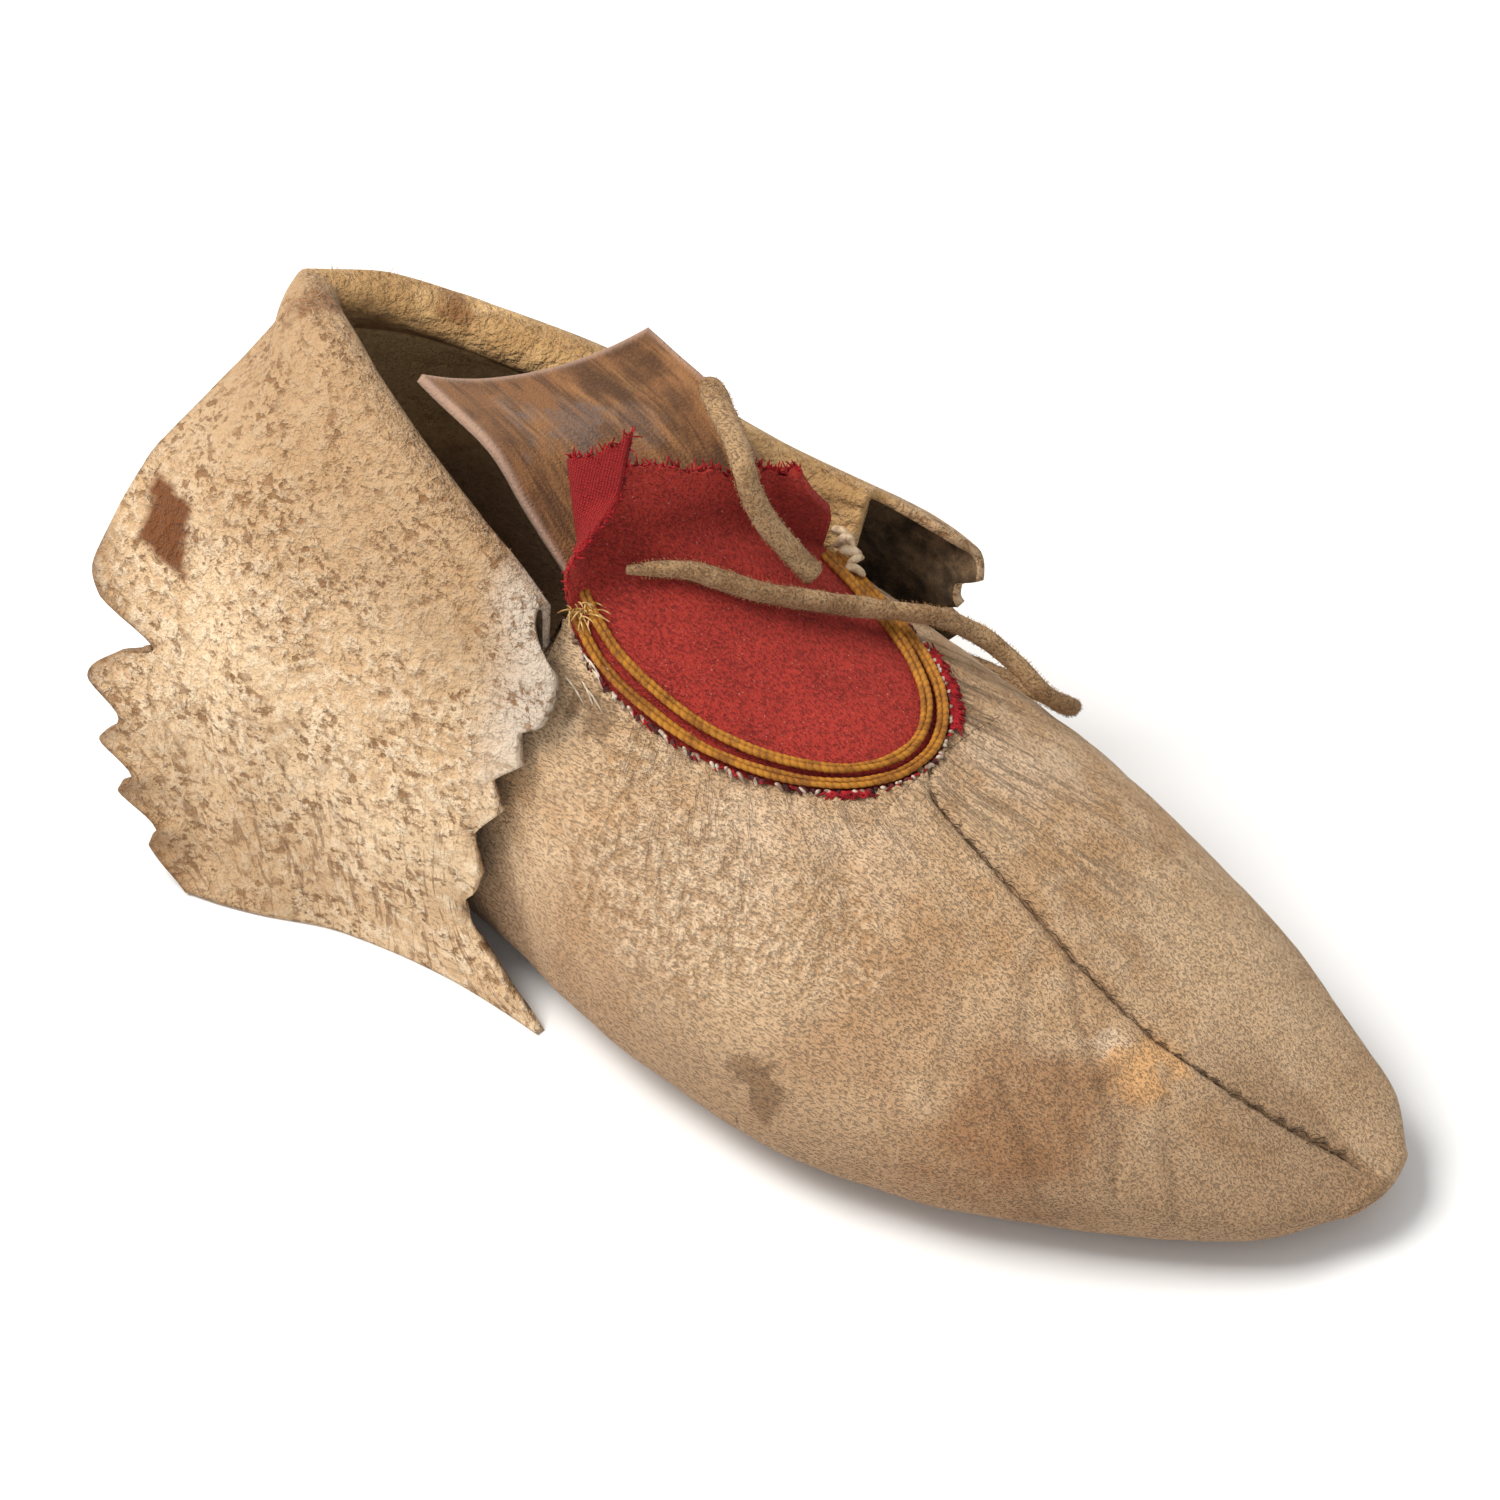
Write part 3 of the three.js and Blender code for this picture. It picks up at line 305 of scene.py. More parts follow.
def fibre_group():
    """Short hairs lying one way: noise on stretched coordinates, cut at a level. Coat gives 0 to 1."""
    tree = bpy.data.node_groups.new("hide_fibres", "ShaderNodeTree")
    tree.interface.new_socket(name="Vector", in_out="INPUT", socket_type="NodeSocketVector")
    for name in ("Scale", "Along", "Level", "Softness"):
        tree.interface.new_socket(name=name, in_out="INPUT", socket_type="NodeSocketFloat")
    tree.interface.new_socket(name="Coat", in_out="OUTPUT", socket_type="NodeSocketFloat")
    start = tree.nodes.new("NodeGroupInput")
    end = tree.nodes.new("NodeGroupOutput")
    scaled = node(tree, "ShaderNodeVectorMath", operation="SCALE", inputs={0: start.outputs["Vector"]})
    tree.links.new(start.outputs["Scale"], scaled.inputs["Scale"])
    stretch = node(tree, "ShaderNodeCombineXYZ", inputs={0: start.outputs["Along"], 1: 1.0, 2: 1.0})
    drawn = node(tree, "ShaderNodeVectorMath", operation="MULTIPLY", inputs={
        0: scaled.outputs[0], 1: stretch.outputs[0],
    })
    bent = node(tree, "ShaderNodeTexNoise", inputs={"Vector": drawn.outputs[0], "Scale": 0.35, "Detail": 1.0})
    moved = node(tree, "ShaderNodeVectorMath", operation="MULTIPLY_ADD")
    tree.links.new(bent.outputs["Color"], moved.inputs[0])
    moved.inputs[1].default_value = (1.2, 1.2, 1.2)
    tree.links.new(drawn.outputs[0], moved.inputs[2])
    hairs = node(tree, "ShaderNodeTexNoise", inputs={"Vector": moved.outputs[0], "Scale": 1.0, "Detail": 3.0})
    hairs.inputs["Roughness"].default_value = 0.62
    high = node(tree, "ShaderNodeMath", operation="ADD", inputs={
        0: start.outputs["Level"], 1: start.outputs["Softness"],
    })
    cut = node(tree, "ShaderNodeMapRange", interpolation_type="SMOOTHSTEP", inputs={
        "Value": hairs.outputs["Fac"], "From Min": start.outputs["Level"], "From Max": high.outputs[0],
    })
    tree.links.new(cut.outputs["Result"], end.inputs["Coat"])
    return tree


HIDE_FIBRES = fibre_group()


def fibres(tree, vector, scale, along, level, softness):
    """The fibre group placed in a material; scale is hairs per metre across."""
    placed = node(tree, "ShaderNodeGroup", node_tree=HIDE_FIBRES, inputs={"Vector": vector})
    for name, value in (("Scale", scale), ("Along", along), ("Level", level), ("Softness", softness)):
        placed.inputs[name].default_value = value
    return placed.outputs["Coat"]


def noise(tree, vector, scale, detail=2.0, roughness=0.5):
    """Noise from 0 to 1; scale is features per metre."""
    made = node(tree, "ShaderNodeTexNoise", inputs={"Vector": vector, "Scale": scale, "Detail": detail})
    made.inputs["Roughness"].default_value = roughness
    return made.outputs["Fac"]


def spread(tree, value, low, high, out_low=0.0, out_high=1.0):
    """A value stretched from low..high to out_low..out_high with soft ends."""
    made = node(tree, "ShaderNodeMapRange", interpolation_type="SMOOTHSTEP", inputs={"Value": value})
    for name, number in (("From Min", low), ("From Max", high), ("To Min", out_low), ("To Max", out_high)):
        made.inputs[name].default_value = number
    return made.outputs["Result"]


def tint(tree, share, below, above):
    """Colour below mixed to colour above by a share."""
    made = node(tree, "ShaderNodeMix", data_type="RGBA")
    for socket, value in ((made.inputs[0], share), (made.inputs[6], below), (made.inputs[7], above)):
        if isinstance(value, bpy.types.NodeSocket):
            tree.links.new(value, socket)
        elif isinstance(value, (int, float)):
            socket.default_value = value
        else:
            socket.default_value = (*value, 1.0)
    return made.outputs[2]


def reckon(tree, operation, first, second):
    """One step of arithmetic on two values."""
    return node(tree, "ShaderNodeMath", operation=operation, inputs={0: first, 1: second}).outputs[0]


def stain(tree, colour, mask, strength, tone):
    """A tone laid over a colour where a mask has it, at the given strength."""
    return tint(tree, reckon(tree, "MULTIPLY", mask, strength), colour, tone)


def plus(tree, value, mask, amount):
    """A value with a mask added to it, an amount of times."""
    return reckon(tree, "ADD", value, reckon(tree, "MULTIPLY", mask, amount))


def painted(tree, name):
    """A mask that was worked out with the mesh."""
    return node(tree, "ShaderNodeAttribute", attribute_name=name).outputs["Fac"]


def surface(tree, colour, rough, height, depth, sheen=0.0, sheen_tint=(1, 1, 1)):
    """Principled surface with a bump of the given depth in metres."""
    shader = tree.nodes["Principled BSDF"]
    tree.links.new(colour, shader.inputs["Base Color"])
    if isinstance(rough, bpy.types.NodeSocket):
        tree.links.new(rough, shader.inputs["Roughness"])
    else:
        shader.inputs["Roughness"].default_value = rough
    bump = node(tree, "ShaderNodeBump", inputs={"Height": height, "Distance": depth, "Strength": 1.0})
    tree.links.new(bump.outputs["Normal"], shader.inputs["Normal"])
    shader.inputs["Specular IOR Level"].default_value = 0.25
    shader.inputs["Sheen Weight"].default_value = sheen
    shader.inputs["Sheen Roughness"].default_value = 0.5
    shader.inputs["Sheen Tint"].default_value = (*sheen_tint, 1.0)


def new_material(name):
    """A node material and its tree, with the place in the piece's own metres and on its map."""
    material = bpy.data.materials.new(name)
    material.use_nodes = True
    places = node(material.node_tree, "ShaderNodeTexCoord").outputs
    return material, material.node_tree, places["Object"], places["UV"]


def tie_material():
    """Fuzzy brown-beige suede with darker dirt in its hollows."""
    material, tree, place, _ = new_material("tie_hide")
    broad = noise(tree, place, 120, 3)
    grain = noise(tree, place, 1900, 3, 0.65)
    hair = fibres(tree, place, 2600, 0.4, 0.52, 0.14)
    colour = tint(tree, spread(tree, broad, 0.38, 0.66), (0.27, 0.135, 0.05), (0.48, 0.29, 0.14))
    colour = tint(tree, spread(tree, grain, 0.35, 0.7, 0.0, 0.5), colour, (0.60, 0.41, 0.235))
    colour = stain(tree, colour, hair, 0.5, (0.14, 0.065, 0.024))
    surface(tree, colour, 0.95, plus(tree, grain, hair, 0.6), 0.0005, 0.15, (1.0, 0.86, 0.68))
    return material


TIE_MATERIAL = tie_material()
STRAND_RINGS = 110
STRAND_SIDES = 20


def make_strand(name, node_name, route, widths, seed):
    """One strand of the tie: an uneven ellipse along its route."""
    path, length = curve_through(route, STRAND_RINGS)
    half_width, half_thickness = columns_at(widths, np.linspace(0, 1, STRAND_RINGS)).T
    points, faces = closed_tube(path, half_width, half_thickness, STRAND_SIDES, 0.12, seed)
    piece = build_piece(name, points, faces, material=TIE_MATERIAL)
    close_mesh(piece)
    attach(piece, "root")
    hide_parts(node_name)


make_strand("tie_inner_strand", "thong_inner", INNER_ROUTE, INNER_WIDTHS, 11)
make_strand("tie_outer_strand", "thong_outer", OUTER_ROUTE, OUTER_WIDTHS, 23)


# Moccasin body: one piece of soft tanned hide makes the sole, the sides and the vamp. It is gathered in
# small puckers to the U of the vamp and closed by a whipped centre seam that runs from the U to the toe.

FOOT_LENGTH = 242.0
BALL_WIDTH = 98.5
INSTEP_HEIGHT = 86.0
HEEL_HEIGHT = 98.0
SHOE_SCALE = np.array([FOOT_LENGTH, BALL_WIDTH, HEEL_HEIGHT])
HIDE_WALL = 1.8
SOLE_PRESS = 0.6
SOLE_FULLNESS = 3.0
LATERAL_FULLNESS = 2.0
MEDIAL_FULLNESS = 2.35
SECTION_NAMES = ("lateral", "medial", "ridge", "keel", "of_heel", "of_instep", "girth", "spring")
# Share of the foot length, then the named columns as shares of the ball width, heel and instep heights.
SECTIONS = np.array([
    [0.000, 0.028, 0.033, 0.000, 0.000, 0.61, 0.000, 0.256, 0.035],
    [0.030, 0.165, 0.158, 0.000, 0.000, 0.97, 0.000, 0.256, 0.012],
    [0.100, 0.295, 0.276, 0.000, 0.000, 1.06, 0.000, 0.256, 0.000],
    [0.220, 0.381, 0.337, 0.000, 0.000, 0.62, 0.455, 0.233, 0.000],
    [0.360, 0.448, 0.382, 0.010, 0.000, 0.00, 1.000, 0.221, 0.000],
    [0.500, 0.520, 0.433, 0.030, 0.000, 0.00, 0.800, 0.209, 0.000],
    [0.620, 0.532, 0.454, 0.051, 0.000, 0.00, 0.663, 0.198, 0.000],
    [0.730, 0.483, 0.416, 0.071, 0.000, 0.00, 0.557, 0.198, 0.000],
    [0.830, 0.389, 0.354, 0.081, 0.010, 0.00, 0.418, 0.198, 0.006],
    [0.910, 0.289, 0.268, 0.081, 0.030, 0.00, 0.290, 0.174, 0.023],
    [0.965, 0.205, 0.197, 0.071, 0.051, 0.00, 0.192, 0.140, 0.052],
    [1.000, 0.085, 0.110, 0.061, 0.061, 0.00, 0.140, 0.110, 0.081],
])
# Top edge on each side: place as a share of the foot length from its middle, height of the heel height.
RIM = {
    -1: np.array([
        (-0.50, 0.825), (-0.467, 0.835), (-0.41, 0.855), (-0.35, 0.845), (-0.29, 0.785), (-0.23, 0.735),
        (-0.185, 0.715), (-0.145, 0.715),
    ]),
    1: np.array([
        (-0.50, 0.825), (-0.467, 0.815), (-0.41, 0.775), (-0.33, 0.745), (-0.23, 0.690), (-0.15, 0.652),
        (-0.10, 0.636), (-0.055, 0.625),
    ]),
}
THROAT_HALF_WIDTH = 26.6
THROAT_APEX = 26.6
THROAT_ROUND = 43.6
THROAT_START = THROAT_APEX - THROAT_ROUND
THROAT_CENTRE = -0.3
THROAT_LEAN = 0.06
THROAT_DRAWN_IN = 1.3
# Centre seam in plan, from the U to the toe.
SEAM_LINE = np.array([
    (26.6, 2.3), (31, -1.8), (38, -3.2), (56, -5.6), (69, -6.8), (81, -6.6), (93, -4.0), (104, 0.0),
    (118, 6.2), (124, 7.0),
])
# Creases of the vamp in plan: their points, then depth and half width.
CREASES = [
    ([(66, -7.5), (73, -13.8), (81, -18.7), (88.5, -23.5), (92, -29)], 0.55, 1.0),
    ([(80, -7.8), (81.2, -14.5), (80, -20)], -0.45, 1.6),
    ([(93, -17), (99.6, -21.8), (103, -25)], 0.45, 0.9),
    ([(68.5, -31), (76.5, -34.2), (82, -37)], 0.35, 1.0),
    ([(56, -26), (58.9, -33.8), (60, -40)], 0.35, 1.0),
    ([(88, -8), (91.5, -14), (97, -18)], 0.3, 0.8),
    ([(74, -20), (79, -26), (86, -31)], 0.25, 0.8),
    ([(60, -9), (63, -17), (69, -24)], 0.2, 1.2),
    ([(-14, -41), (6, -31), (22, -24)], -0.7, 3.5),
    ([(25, -21), (34, -30), (38, -42)], 0.8, 4.0),
]


def rim_front(side):
    """Where the mouth's edge on that side meets the U."""
    return RIM[side][-1, 0] * FOOT_LENGTH


def rim_height(x, side):
    """Height of the mouth's edge at a place along the foot."""
    return smooth(x / FOOT_LENGTH, *RIM[side].T) * HEEL_HEIGHT


def seam_side(x):
    """Sideways place of the centre seam at places along the foot."""
    return smooth(x, *SEAM_LINE.T)


def sections(along):
    """Each named column of the section table at shares of the length."""
    return {name: smooth(along, SECTIONS[:, 0], SECTIONS[:, k + 1]) for k, name in enumerate(SECTION_NAMES)}


def crown_and_girth(s):
    """Heights of the crown and of the widest point."""
    return s["of_heel"] * HEEL_HEIGHT + s["of_instep"] * INSTEP_HEIGHT, s["girth"] * INSTEP_HEIGHT


def skin(along, turn):
    """Outer skin. turn is 0 under the foot, +-1 at the widest point and +-2 at the crown, with the inner
    side positive; past 2 it goes on over the crown. Each quarter is a superellipse: one coordinate is
    the sine and the other the cosine of the quarter's angle, each to the power 2 / fullness."""
    turn = np.where(turn > 2, turn - 4, np.where(turn < -2, turn + 4, turn))
    s = sections(along)
    side = np.where(turn >= 0, 1.0, -1.0)
    bend = np.abs(turn)
    keel = s["keel"] * BALL_WIDTH
    edge = (s["keel"] + side * np.where(side > 0, s["medial"], s["lateral"])) * BALL_WIDTH
    ridge = s["ridge"] * BALL_WIDTH
    crown, girth = crown_and_girth(s)
    spring = s["spring"] * INSTEP_HEIGHT
    low = np.clip(bend, 0, 1) * np.pi / 2
    power = 2 / SOLE_FULLNESS
    y_low = keel + (edge - keel) * np.sin(low) ** power
    z_low = np.maximum(spring + (girth - spring) * (1 - np.maximum(np.cos(low), 0) ** power) - SOLE_PRESS, 0)
    high = (np.clip(bend, 1, 2) - 1) * np.pi / 2
    power = 2 / np.where(side > 0, MEDIAL_FULLNESS, LATERAL_FULLNESS)
    y_high = ridge + (edge - ridge) * np.maximum(np.cos(high), 0) ** power
    z_high = girth + (crown - girth) * np.sin(high) ** power - SOLE_PRESS
    x = (along - 0.5) * FOOT_LENGTH + 0 * bend
    return np.stack([x, np.where(bend <= 1, y_low, y_high), np.where(bend <= 1, z_low, z_high)], axis=-1)


def turn_at_height(along, height, side):
    """turn on one side at a height: the superellipse's sine solved for the height."""
    crown, girth = crown_and_girth(sections(along))
    rise = np.clip((height + SOLE_PRESS - girth) / np.maximum(crown - girth, 1e-6), 0, 1)
    fullness = MEDIAL_FULLNESS if side > 0 else LATERAL_FULLNESS
    return side * (1 + np.arcsin(rise ** (fullness / 2)) * 2 / np.pi)


def turn_at_side(along, y):
    """turn of the upper skin at a sideways place: the superellipse's cosine solved for it."""
    s = sections(along)
    ridge = s["ridge"] * BALL_WIDTH
    inner = (s["keel"] + s["medial"]) * BALL_WIDTH - ridge
    outer = ridge - (s["keel"] - s["lateral"]) * BALL_WIDTH
    to_inner = y > ridge
    out = np.clip(np.where(to_inner, (y - ridge) / inner, (ridge - y) / outer), 0, 1)
    fullness = np.where(to_inner, MEDIAL_FULLNESS, LATERAL_FULLNESS)
    return np.where(to_inner, 1, -1) * (1 + np.arccos(out ** (fullness / 2)) * 2 / np.pi)


def skin_top(x, y):
    """Height of the upper skin at a place in plan."""
    s = sections(x / FOOT_LENGTH + 0.5)
    ridge = s["ridge"] * BALL_WIDTH
    edge = np.where(y > ridge, s["keel"] + s["medial"], s["keel"] - s["lateral"]) * BALL_WIDTH
    fullness = np.where(y > ridge, MEDIAL_FULLNESS, LATERAL_FULLNESS)
    crown, girth = crown_and_girth(s)
    out = np.clip(np.abs((y - ridge) / (edge - ridge)), 0, 1)
    return girth + (crown - girth) * (1 - out ** fullness) ** (1 / fullness) - SOLE_PRESS


def skin_side(x, z, side):
    """Sideways place of the skin at a height; below the widest point it stays at the widest."""
    s = sections(x / FOOT_LENGTH + 0.5)
    crown, girth = crown_and_girth(s)
    fullness = MEDIAL_FULLNESS if side > 0 else LATERAL_FULLNESS
    edge = (s["keel"] + side * (s["medial"] if side > 0 else s["lateral"])) * BALL_WIDTH
    ridge = s["ridge"] * BALL_WIDTH
    rise = np.clip((z + SOLE_PRESS - girth) / (crown - girth), 0, 1)
    return ridge + (edge - ridge) * (1 - rise ** fullness) ** (1 / fullness)


def throat_middle(x):
    """The U leans a little to the inner side of the foot as it runs forwards."""
    return THROAT_CENTRE + THROAT_LEAN * (x - THROAT_START)


def throat_half(x, inset=0.0):
    """Half width of the U: half an ellipse in front, drawn in by a parabola towards the ankle."""
    share = (x - THROAT_START) / (THROAT_ROUND - inset)
    front = np.sqrt(np.clip(1 - share * share, 0, 1))
    return (THROAT_HALF_WIDTH - inset) * np.where(share > 0, front, 1 - THROAT_DRAWN_IN * share * share)


def body_edge(x, side):
    """turn of the hide's edge at each station: the mouth's rim, then the U, then the centre seam."""
    along = x / FOOT_LENGTH + 0.5
    mouth = turn_at_height(along, rim_height(x, side), side)
    at_throat = throat_middle(x) + side * throat_half(x)
    beside = turn_at_side(along, np.where(x < THROAT_APEX, at_throat, seam_side(x)))
    beside = np.where(np.sign(beside) == side, beside, beside + 4 * side)
    return np.where(x < rim_front(side), mouth, beside)


def eased(low, high, value):
    """0 below low, 1 above high, and a smooth step between."""
    t = np.clip((value - low) / (high - low), 0, 1)
    return t * t * (3 - 2 * t)


def blob(points, centre, reach, seed=0, ragged=0.35):
    """A soft patch round a place: 1 at its centre and 0 past its reach, with a ragged edge."""
    away = np.linalg.norm(points - np.array(centre), axis=-1) / reach
    away = away + ragged * lumps(points, reach * 0.45, seed)
    away = away + 0.5 * ragged * lumps(points, reach * 0.16, seed + 1)
    return 1 - eased(0.35, 1.0, away)


def trough(points, line, half_width):
    """1 along a line drawn on the skin in plan, fading with distance as a bell curve."""
    plan, _ = curve_through([(x, y, 0) for x, y in line], 26)
    plan[:, 2] = skin_top(plan[:, 0], plan[:, 1])
    gap = np.full(points.shape[:-1], 1e9)
    for place in plan:
        gap = np.minimum(gap, ((points - place) ** 2).sum(axis=-1))
    fade = np.exp(-gap / half_width ** 2)
    return fade, np.sqrt(gap)


JOINT_STEP = 0.15
HEEL_STATIONS, SIDE_STATIONS, THROAT_STATIONS, VAMP_STATIONS = 62, 26, 74, 104
BODY_COLUMNS = 150
# Above 1, the rings stand closer together towards the heel and towards the toe.
HEEL_CROWDING, TOE_CROWDING = 1.35, 1.25
CAP_RINGS = 4
HEEL_BULGE = 1.6
TOE_BULGE = 2.6
# The toe's cap stands out less at its sides and ends narrower, by these shares.
TOE_ROUNDED = 0.7
TOE_NARROWED = 0.18


def body_stations():
    """Places of the rings: close together at the heel, in the U's round front and at the toe."""
    quarter = np.linspace(0, np.pi / 2, THROAT_STATIONS)
    back, front = rim_front(-1), rim_front(1)
    half = 0.5 * FOOT_LENGTH
    heel = -half + (back - JOINT_STEP + half) * np.linspace(0, 1, HEEL_STATIONS) ** HEEL_CROWDING
    side = np.linspace(back + JOINT_STEP, front - JOINT_STEP, SIDE_STATIONS)
    throat = front + JOINT_STEP + (THROAT_APEX - front - JOINT_STEP) * np.sin(quarter)
    to_toe = 1 - (1 - np.linspace(0, 1, VAMP_STATIONS)[1:]) ** TOE_CROWDING
    vamp = THROAT_APEX + (half - THROAT_APEX) * to_toe
    return np.concatenate([heel, side, throat, vamp])


def body_rings():
    """Rings of the skin from the inner edge under the foot to the outer edge, evenly spaced but for a
    denser stretch next to both edges. Also each point's distance from its nearer edge."""
    x = body_stations()
    along = x / FOOT_LENGTH + 0.5
    inner, outer = body_edge(x, 1), body_edge(x, -1)
    fine = np.linspace(0, 1, 500)
    turns = inner[:, None] + (outer - inner)[:, None] * fine
    dense = skin(along[:, None], turns)
    gone = length_gone(dense)
    q = np.linspace(0, 1, BODY_COLUMNS)
    share = q - 0.5 * np.sin(2 * np.pi * q) / (2 * np.pi)
    at = np.stack([np.interp(share * g[-1], g, t) for g, t in zip(gone, turns)])
    rings = skin(along[:, None], at)
    reach = share * gone[:, -1:]
    return rings, np.minimum(reach, gone[:, -1:] - reach)


def surface_normals(grid):
    """Unit normals of a grid of points: the cross product of its two gradients."""
    return unit(np.cross(np.gradient(grid, axis=0), np.gradient(grid, axis=1)))


def throat_polar(points):
    """Distance outwards from the U's edge and place along the U, both in mm."""
    x, y = points[..., 0], points[..., 1]
    ahead = np.maximum(x - THROAT_START, 0) / THROAT_ROUND
    across = (y - throat_middle(x)) / THROAT_HALF_WIDTH
    return (np.hypot(ahead, across) - 1) * THROAT_HALF_WIDTH, np.arctan2(across, ahead) * THROAT_ROUND * 0.85


def make_body_mesh():
    """The hide's outer skin with its puckers, seam valley, creases and slack, and its colour masks, among them
    painted shade and painted light.
    """
    rings, edge_gap = body_rings()
    normal = surface_normals(rings)
    x, z = rings[..., 0], rings[..., 2]
    free = eased(0.3, 5.0, z)
    seam_on = eased(THROAT_APEX - 0.5, THROAT_APEX + 2.5, x)
    toe_fade = 1 - eased(117, 121, x)
    wander = 1 + 0.5 * lumps(rings, 5, 3)
    valley = np.exp(-((edge_gap / (0.75 * wander)) ** 2))
    lips = np.exp(-(((edge_gap - 2.2) / 1.3) ** 2))
    tug = np.sin(2 * np.pi * x / 2.9 + 2.5 * lumps(rings, 7, 5)) * np.exp(-edge_gap / 2.6)
    seam = seam_on * toe_fade * (-0.85 * valley + 0.24 * lips + 0.2 * tug)
    out, around = throat_polar(rings)
    upper = eased(28, 40, z) * (1 - 0.999 * (out < 0))
    jitter = 1.6 * lumps(rings, 9, 7)
    gather = np.cos(2 * np.pi * around / 3.3 + 2 * jitter) * np.exp(-out / 3.6)
    place = np.stack([around / 2.4, out / 16, 0 * out], axis=-1)
    wrinkle = lumps(place, 1.0, 9)
    far_place = np.stack([around / 1.5, out / 22, 0 * out], axis=-1)
    long_wrinkle = lumps(far_place, 1.0, 13) * eased(-6, 14, rings[..., 1])
    puckers = upper * (
        0.34 * gather + 0.45 * wrinkle * np.exp(-out / 9) + 0.36 * long_wrinkle * np.exp(-out / 26)
    )
    slack = 0.42 * lumps(rings, 30, 21) + 0.22 * lumps(rings, 11, 22) + 0.07 * lumps(rings, 3.4, 23)
    rough = blob(rings, (2, -40, 45), 30, 31) + 0.6 * blob(rings, (30, -32, 46), 18, 33)
    rough = np.clip(rough, 0, 1)
    slack = slack + rough * (0.13 * lumps(rings, 1.7, 24) + 0.12 * lumps(rings, 2.9, 25))
    # Narrow creases gathered here are darkened in colour as painted shade.
    crease_shade = np.zeros_like(x)
    fold = np.zeros_like(x)
    for line, depth, half_width in CREASES:
        fade, gap = trough(rings, line, half_width)
        rise = np.exp(-(((gap - 2.1 * half_width) / half_width) ** 2))
        fold = fold - depth * fade + 0.35 * depth * rise
        crease_shade = np.maximum(crease_shade, fade * (depth > 0) * (half_width < 2))
    rings = rings + normal * (free * (seam + puckers + slack + fold))[..., None]
    # Painted shade: the valleys between the puckers round the U are darkened in colour.
    pucker_shade = upper * (
        np.exp(-out / 5) * eased(0.2, 0.9, -gather)
        + 0.9 * np.exp(-out / 26) * eased(0.25, 0.7, -long_wrinkle)
    )
    y = rings[..., 1]
    # Painted shadow beside and under the front edge of the cuff on the outer side.
    shadow_by_cuff = eased(0, 8, -30 - x - 0.35 * (z - 40)) * (y < 0) * eased(4, 12, z)
    masks = {
        # Painted shade in the creases, the seam valley and the pucker valleys.
        "crease_shade": np.clip(0.8 * crease_shade + 0.42 * seam_on * toe_fade * valley + pucker_shade, 0, 1),
        "rayed": upper * np.exp(-out / 24) * (0.4 + 0.6 * eased(-8, 12, y)) * eased(0.5, 2.5, out),
        # Dark blobs of dirt, with painted shade along the floor and a painted shadow by the cuff's front edge.
        "grime_and_shade": np.clip(
            blob(rings, (32, -51.5, 23), 8, 41, 0.5) + 0.9 * blob(rings, (-23, -29.5, 67), 6, 43, 0.6)
            + 0.45 * (1 - eased(0.5, 8, z)) + 0.5 * blob(rings, (82, -38, 14), 13, 45, 0.6)
            + 0.8 * shadow_by_cuff + 0.35 * blob(rings, (14, -52, 26), 20, 47, 0.7)
            + 0.3 * blob(rings, (108, 22, 12), 14, 49, 0.6), 0, 1,
        ),
        "warm": np.clip(
            0.95 * blob(rings, (75, -33, 27), 22, 51, 0.3) + 0.5 * blob(rings, (47, -36, 38), 22, 55, 0.35)
            + 0.4 * blob(rings, (-4, -47, 36), 18, 57, 0.6) + 0.3 * blob(rings, (60, -44, 20), 22, 59, 0.6),
            0, 1,
        ),
        "amber": blob(rings, (85, -11.5, 31), 7.5, 53, 0.6),
        "pale": np.clip(
            blob(rings, (80, -13.5, 33), 4.5, 61, 0.6) + 0.8 * blob(rings, (8, -36, 50), 24, 63)
            + 0.7 * blob(rings, (36, 16, 53), 15, 65) + 0.5 * blob(rings, (30, -18, 53), 12, 67), 0, 1,
        ),
        "rough": rough,
        # Painted shade: the hide darkens towards the floor, less on the inner side.
        "low": (1 - eased(10, 42, z + 5 * lumps(rings, 14, 68))) * (0.35 + 0.65 * (y < 8)),
        # Painted light: the inside wall under the mouth's inner side is coloured as if lit.
        "painted_light_band": eased(4, 12, y) * (1 - eased(-34, -26, x)) * eased(40, 52, z),
    }
    shade = np.linspace(0, np.pi / 2, CAP_RINGS + 1)[1:, None]
    heel, toe = rings[0], rings[-1]
    heel_cap = np.stack([
        heel[:, 0] - HEEL_BULGE * np.sin(shade) + 0 * heel[:, 1],
        heel[:, 1].mean() + (heel[:, 1] - heel[:, 1].mean()) * np.cos(shade),
        heel[:, 2] + 0 * shade,
    ], axis=-1)[::-1]
    toe_y, toe_z = toe[:, 1].mean(), 0.5 * (toe[:, 2].min() + toe[:, 2].max())
    beside = ((toe[:, 1] - toe_y) / np.ptp(toe[:, 1]) * 2) ** 2
    toe_cap = np.stack([
        toe[:, 0] + (TOE_BULGE * (1 - TOE_ROUNDED * beside)) * np.sin(shade),
        toe_y + (toe[:, 1] - toe_y) * (1 - TOE_NARROWED * (1 - np.cos(shade))),
        toe_z + (toe[:, 2] - toe_z) * np.cos(shade),
    ], axis=-1)
    with_caps = ((CAP_RINGS, CAP_RINGS), (0, 0))
    masks = {name: np.pad(mask, with_caps, "edge") for name, mask in masks.items()}
    return np.concatenate([heel_cap, rings, toe_cap]), masks


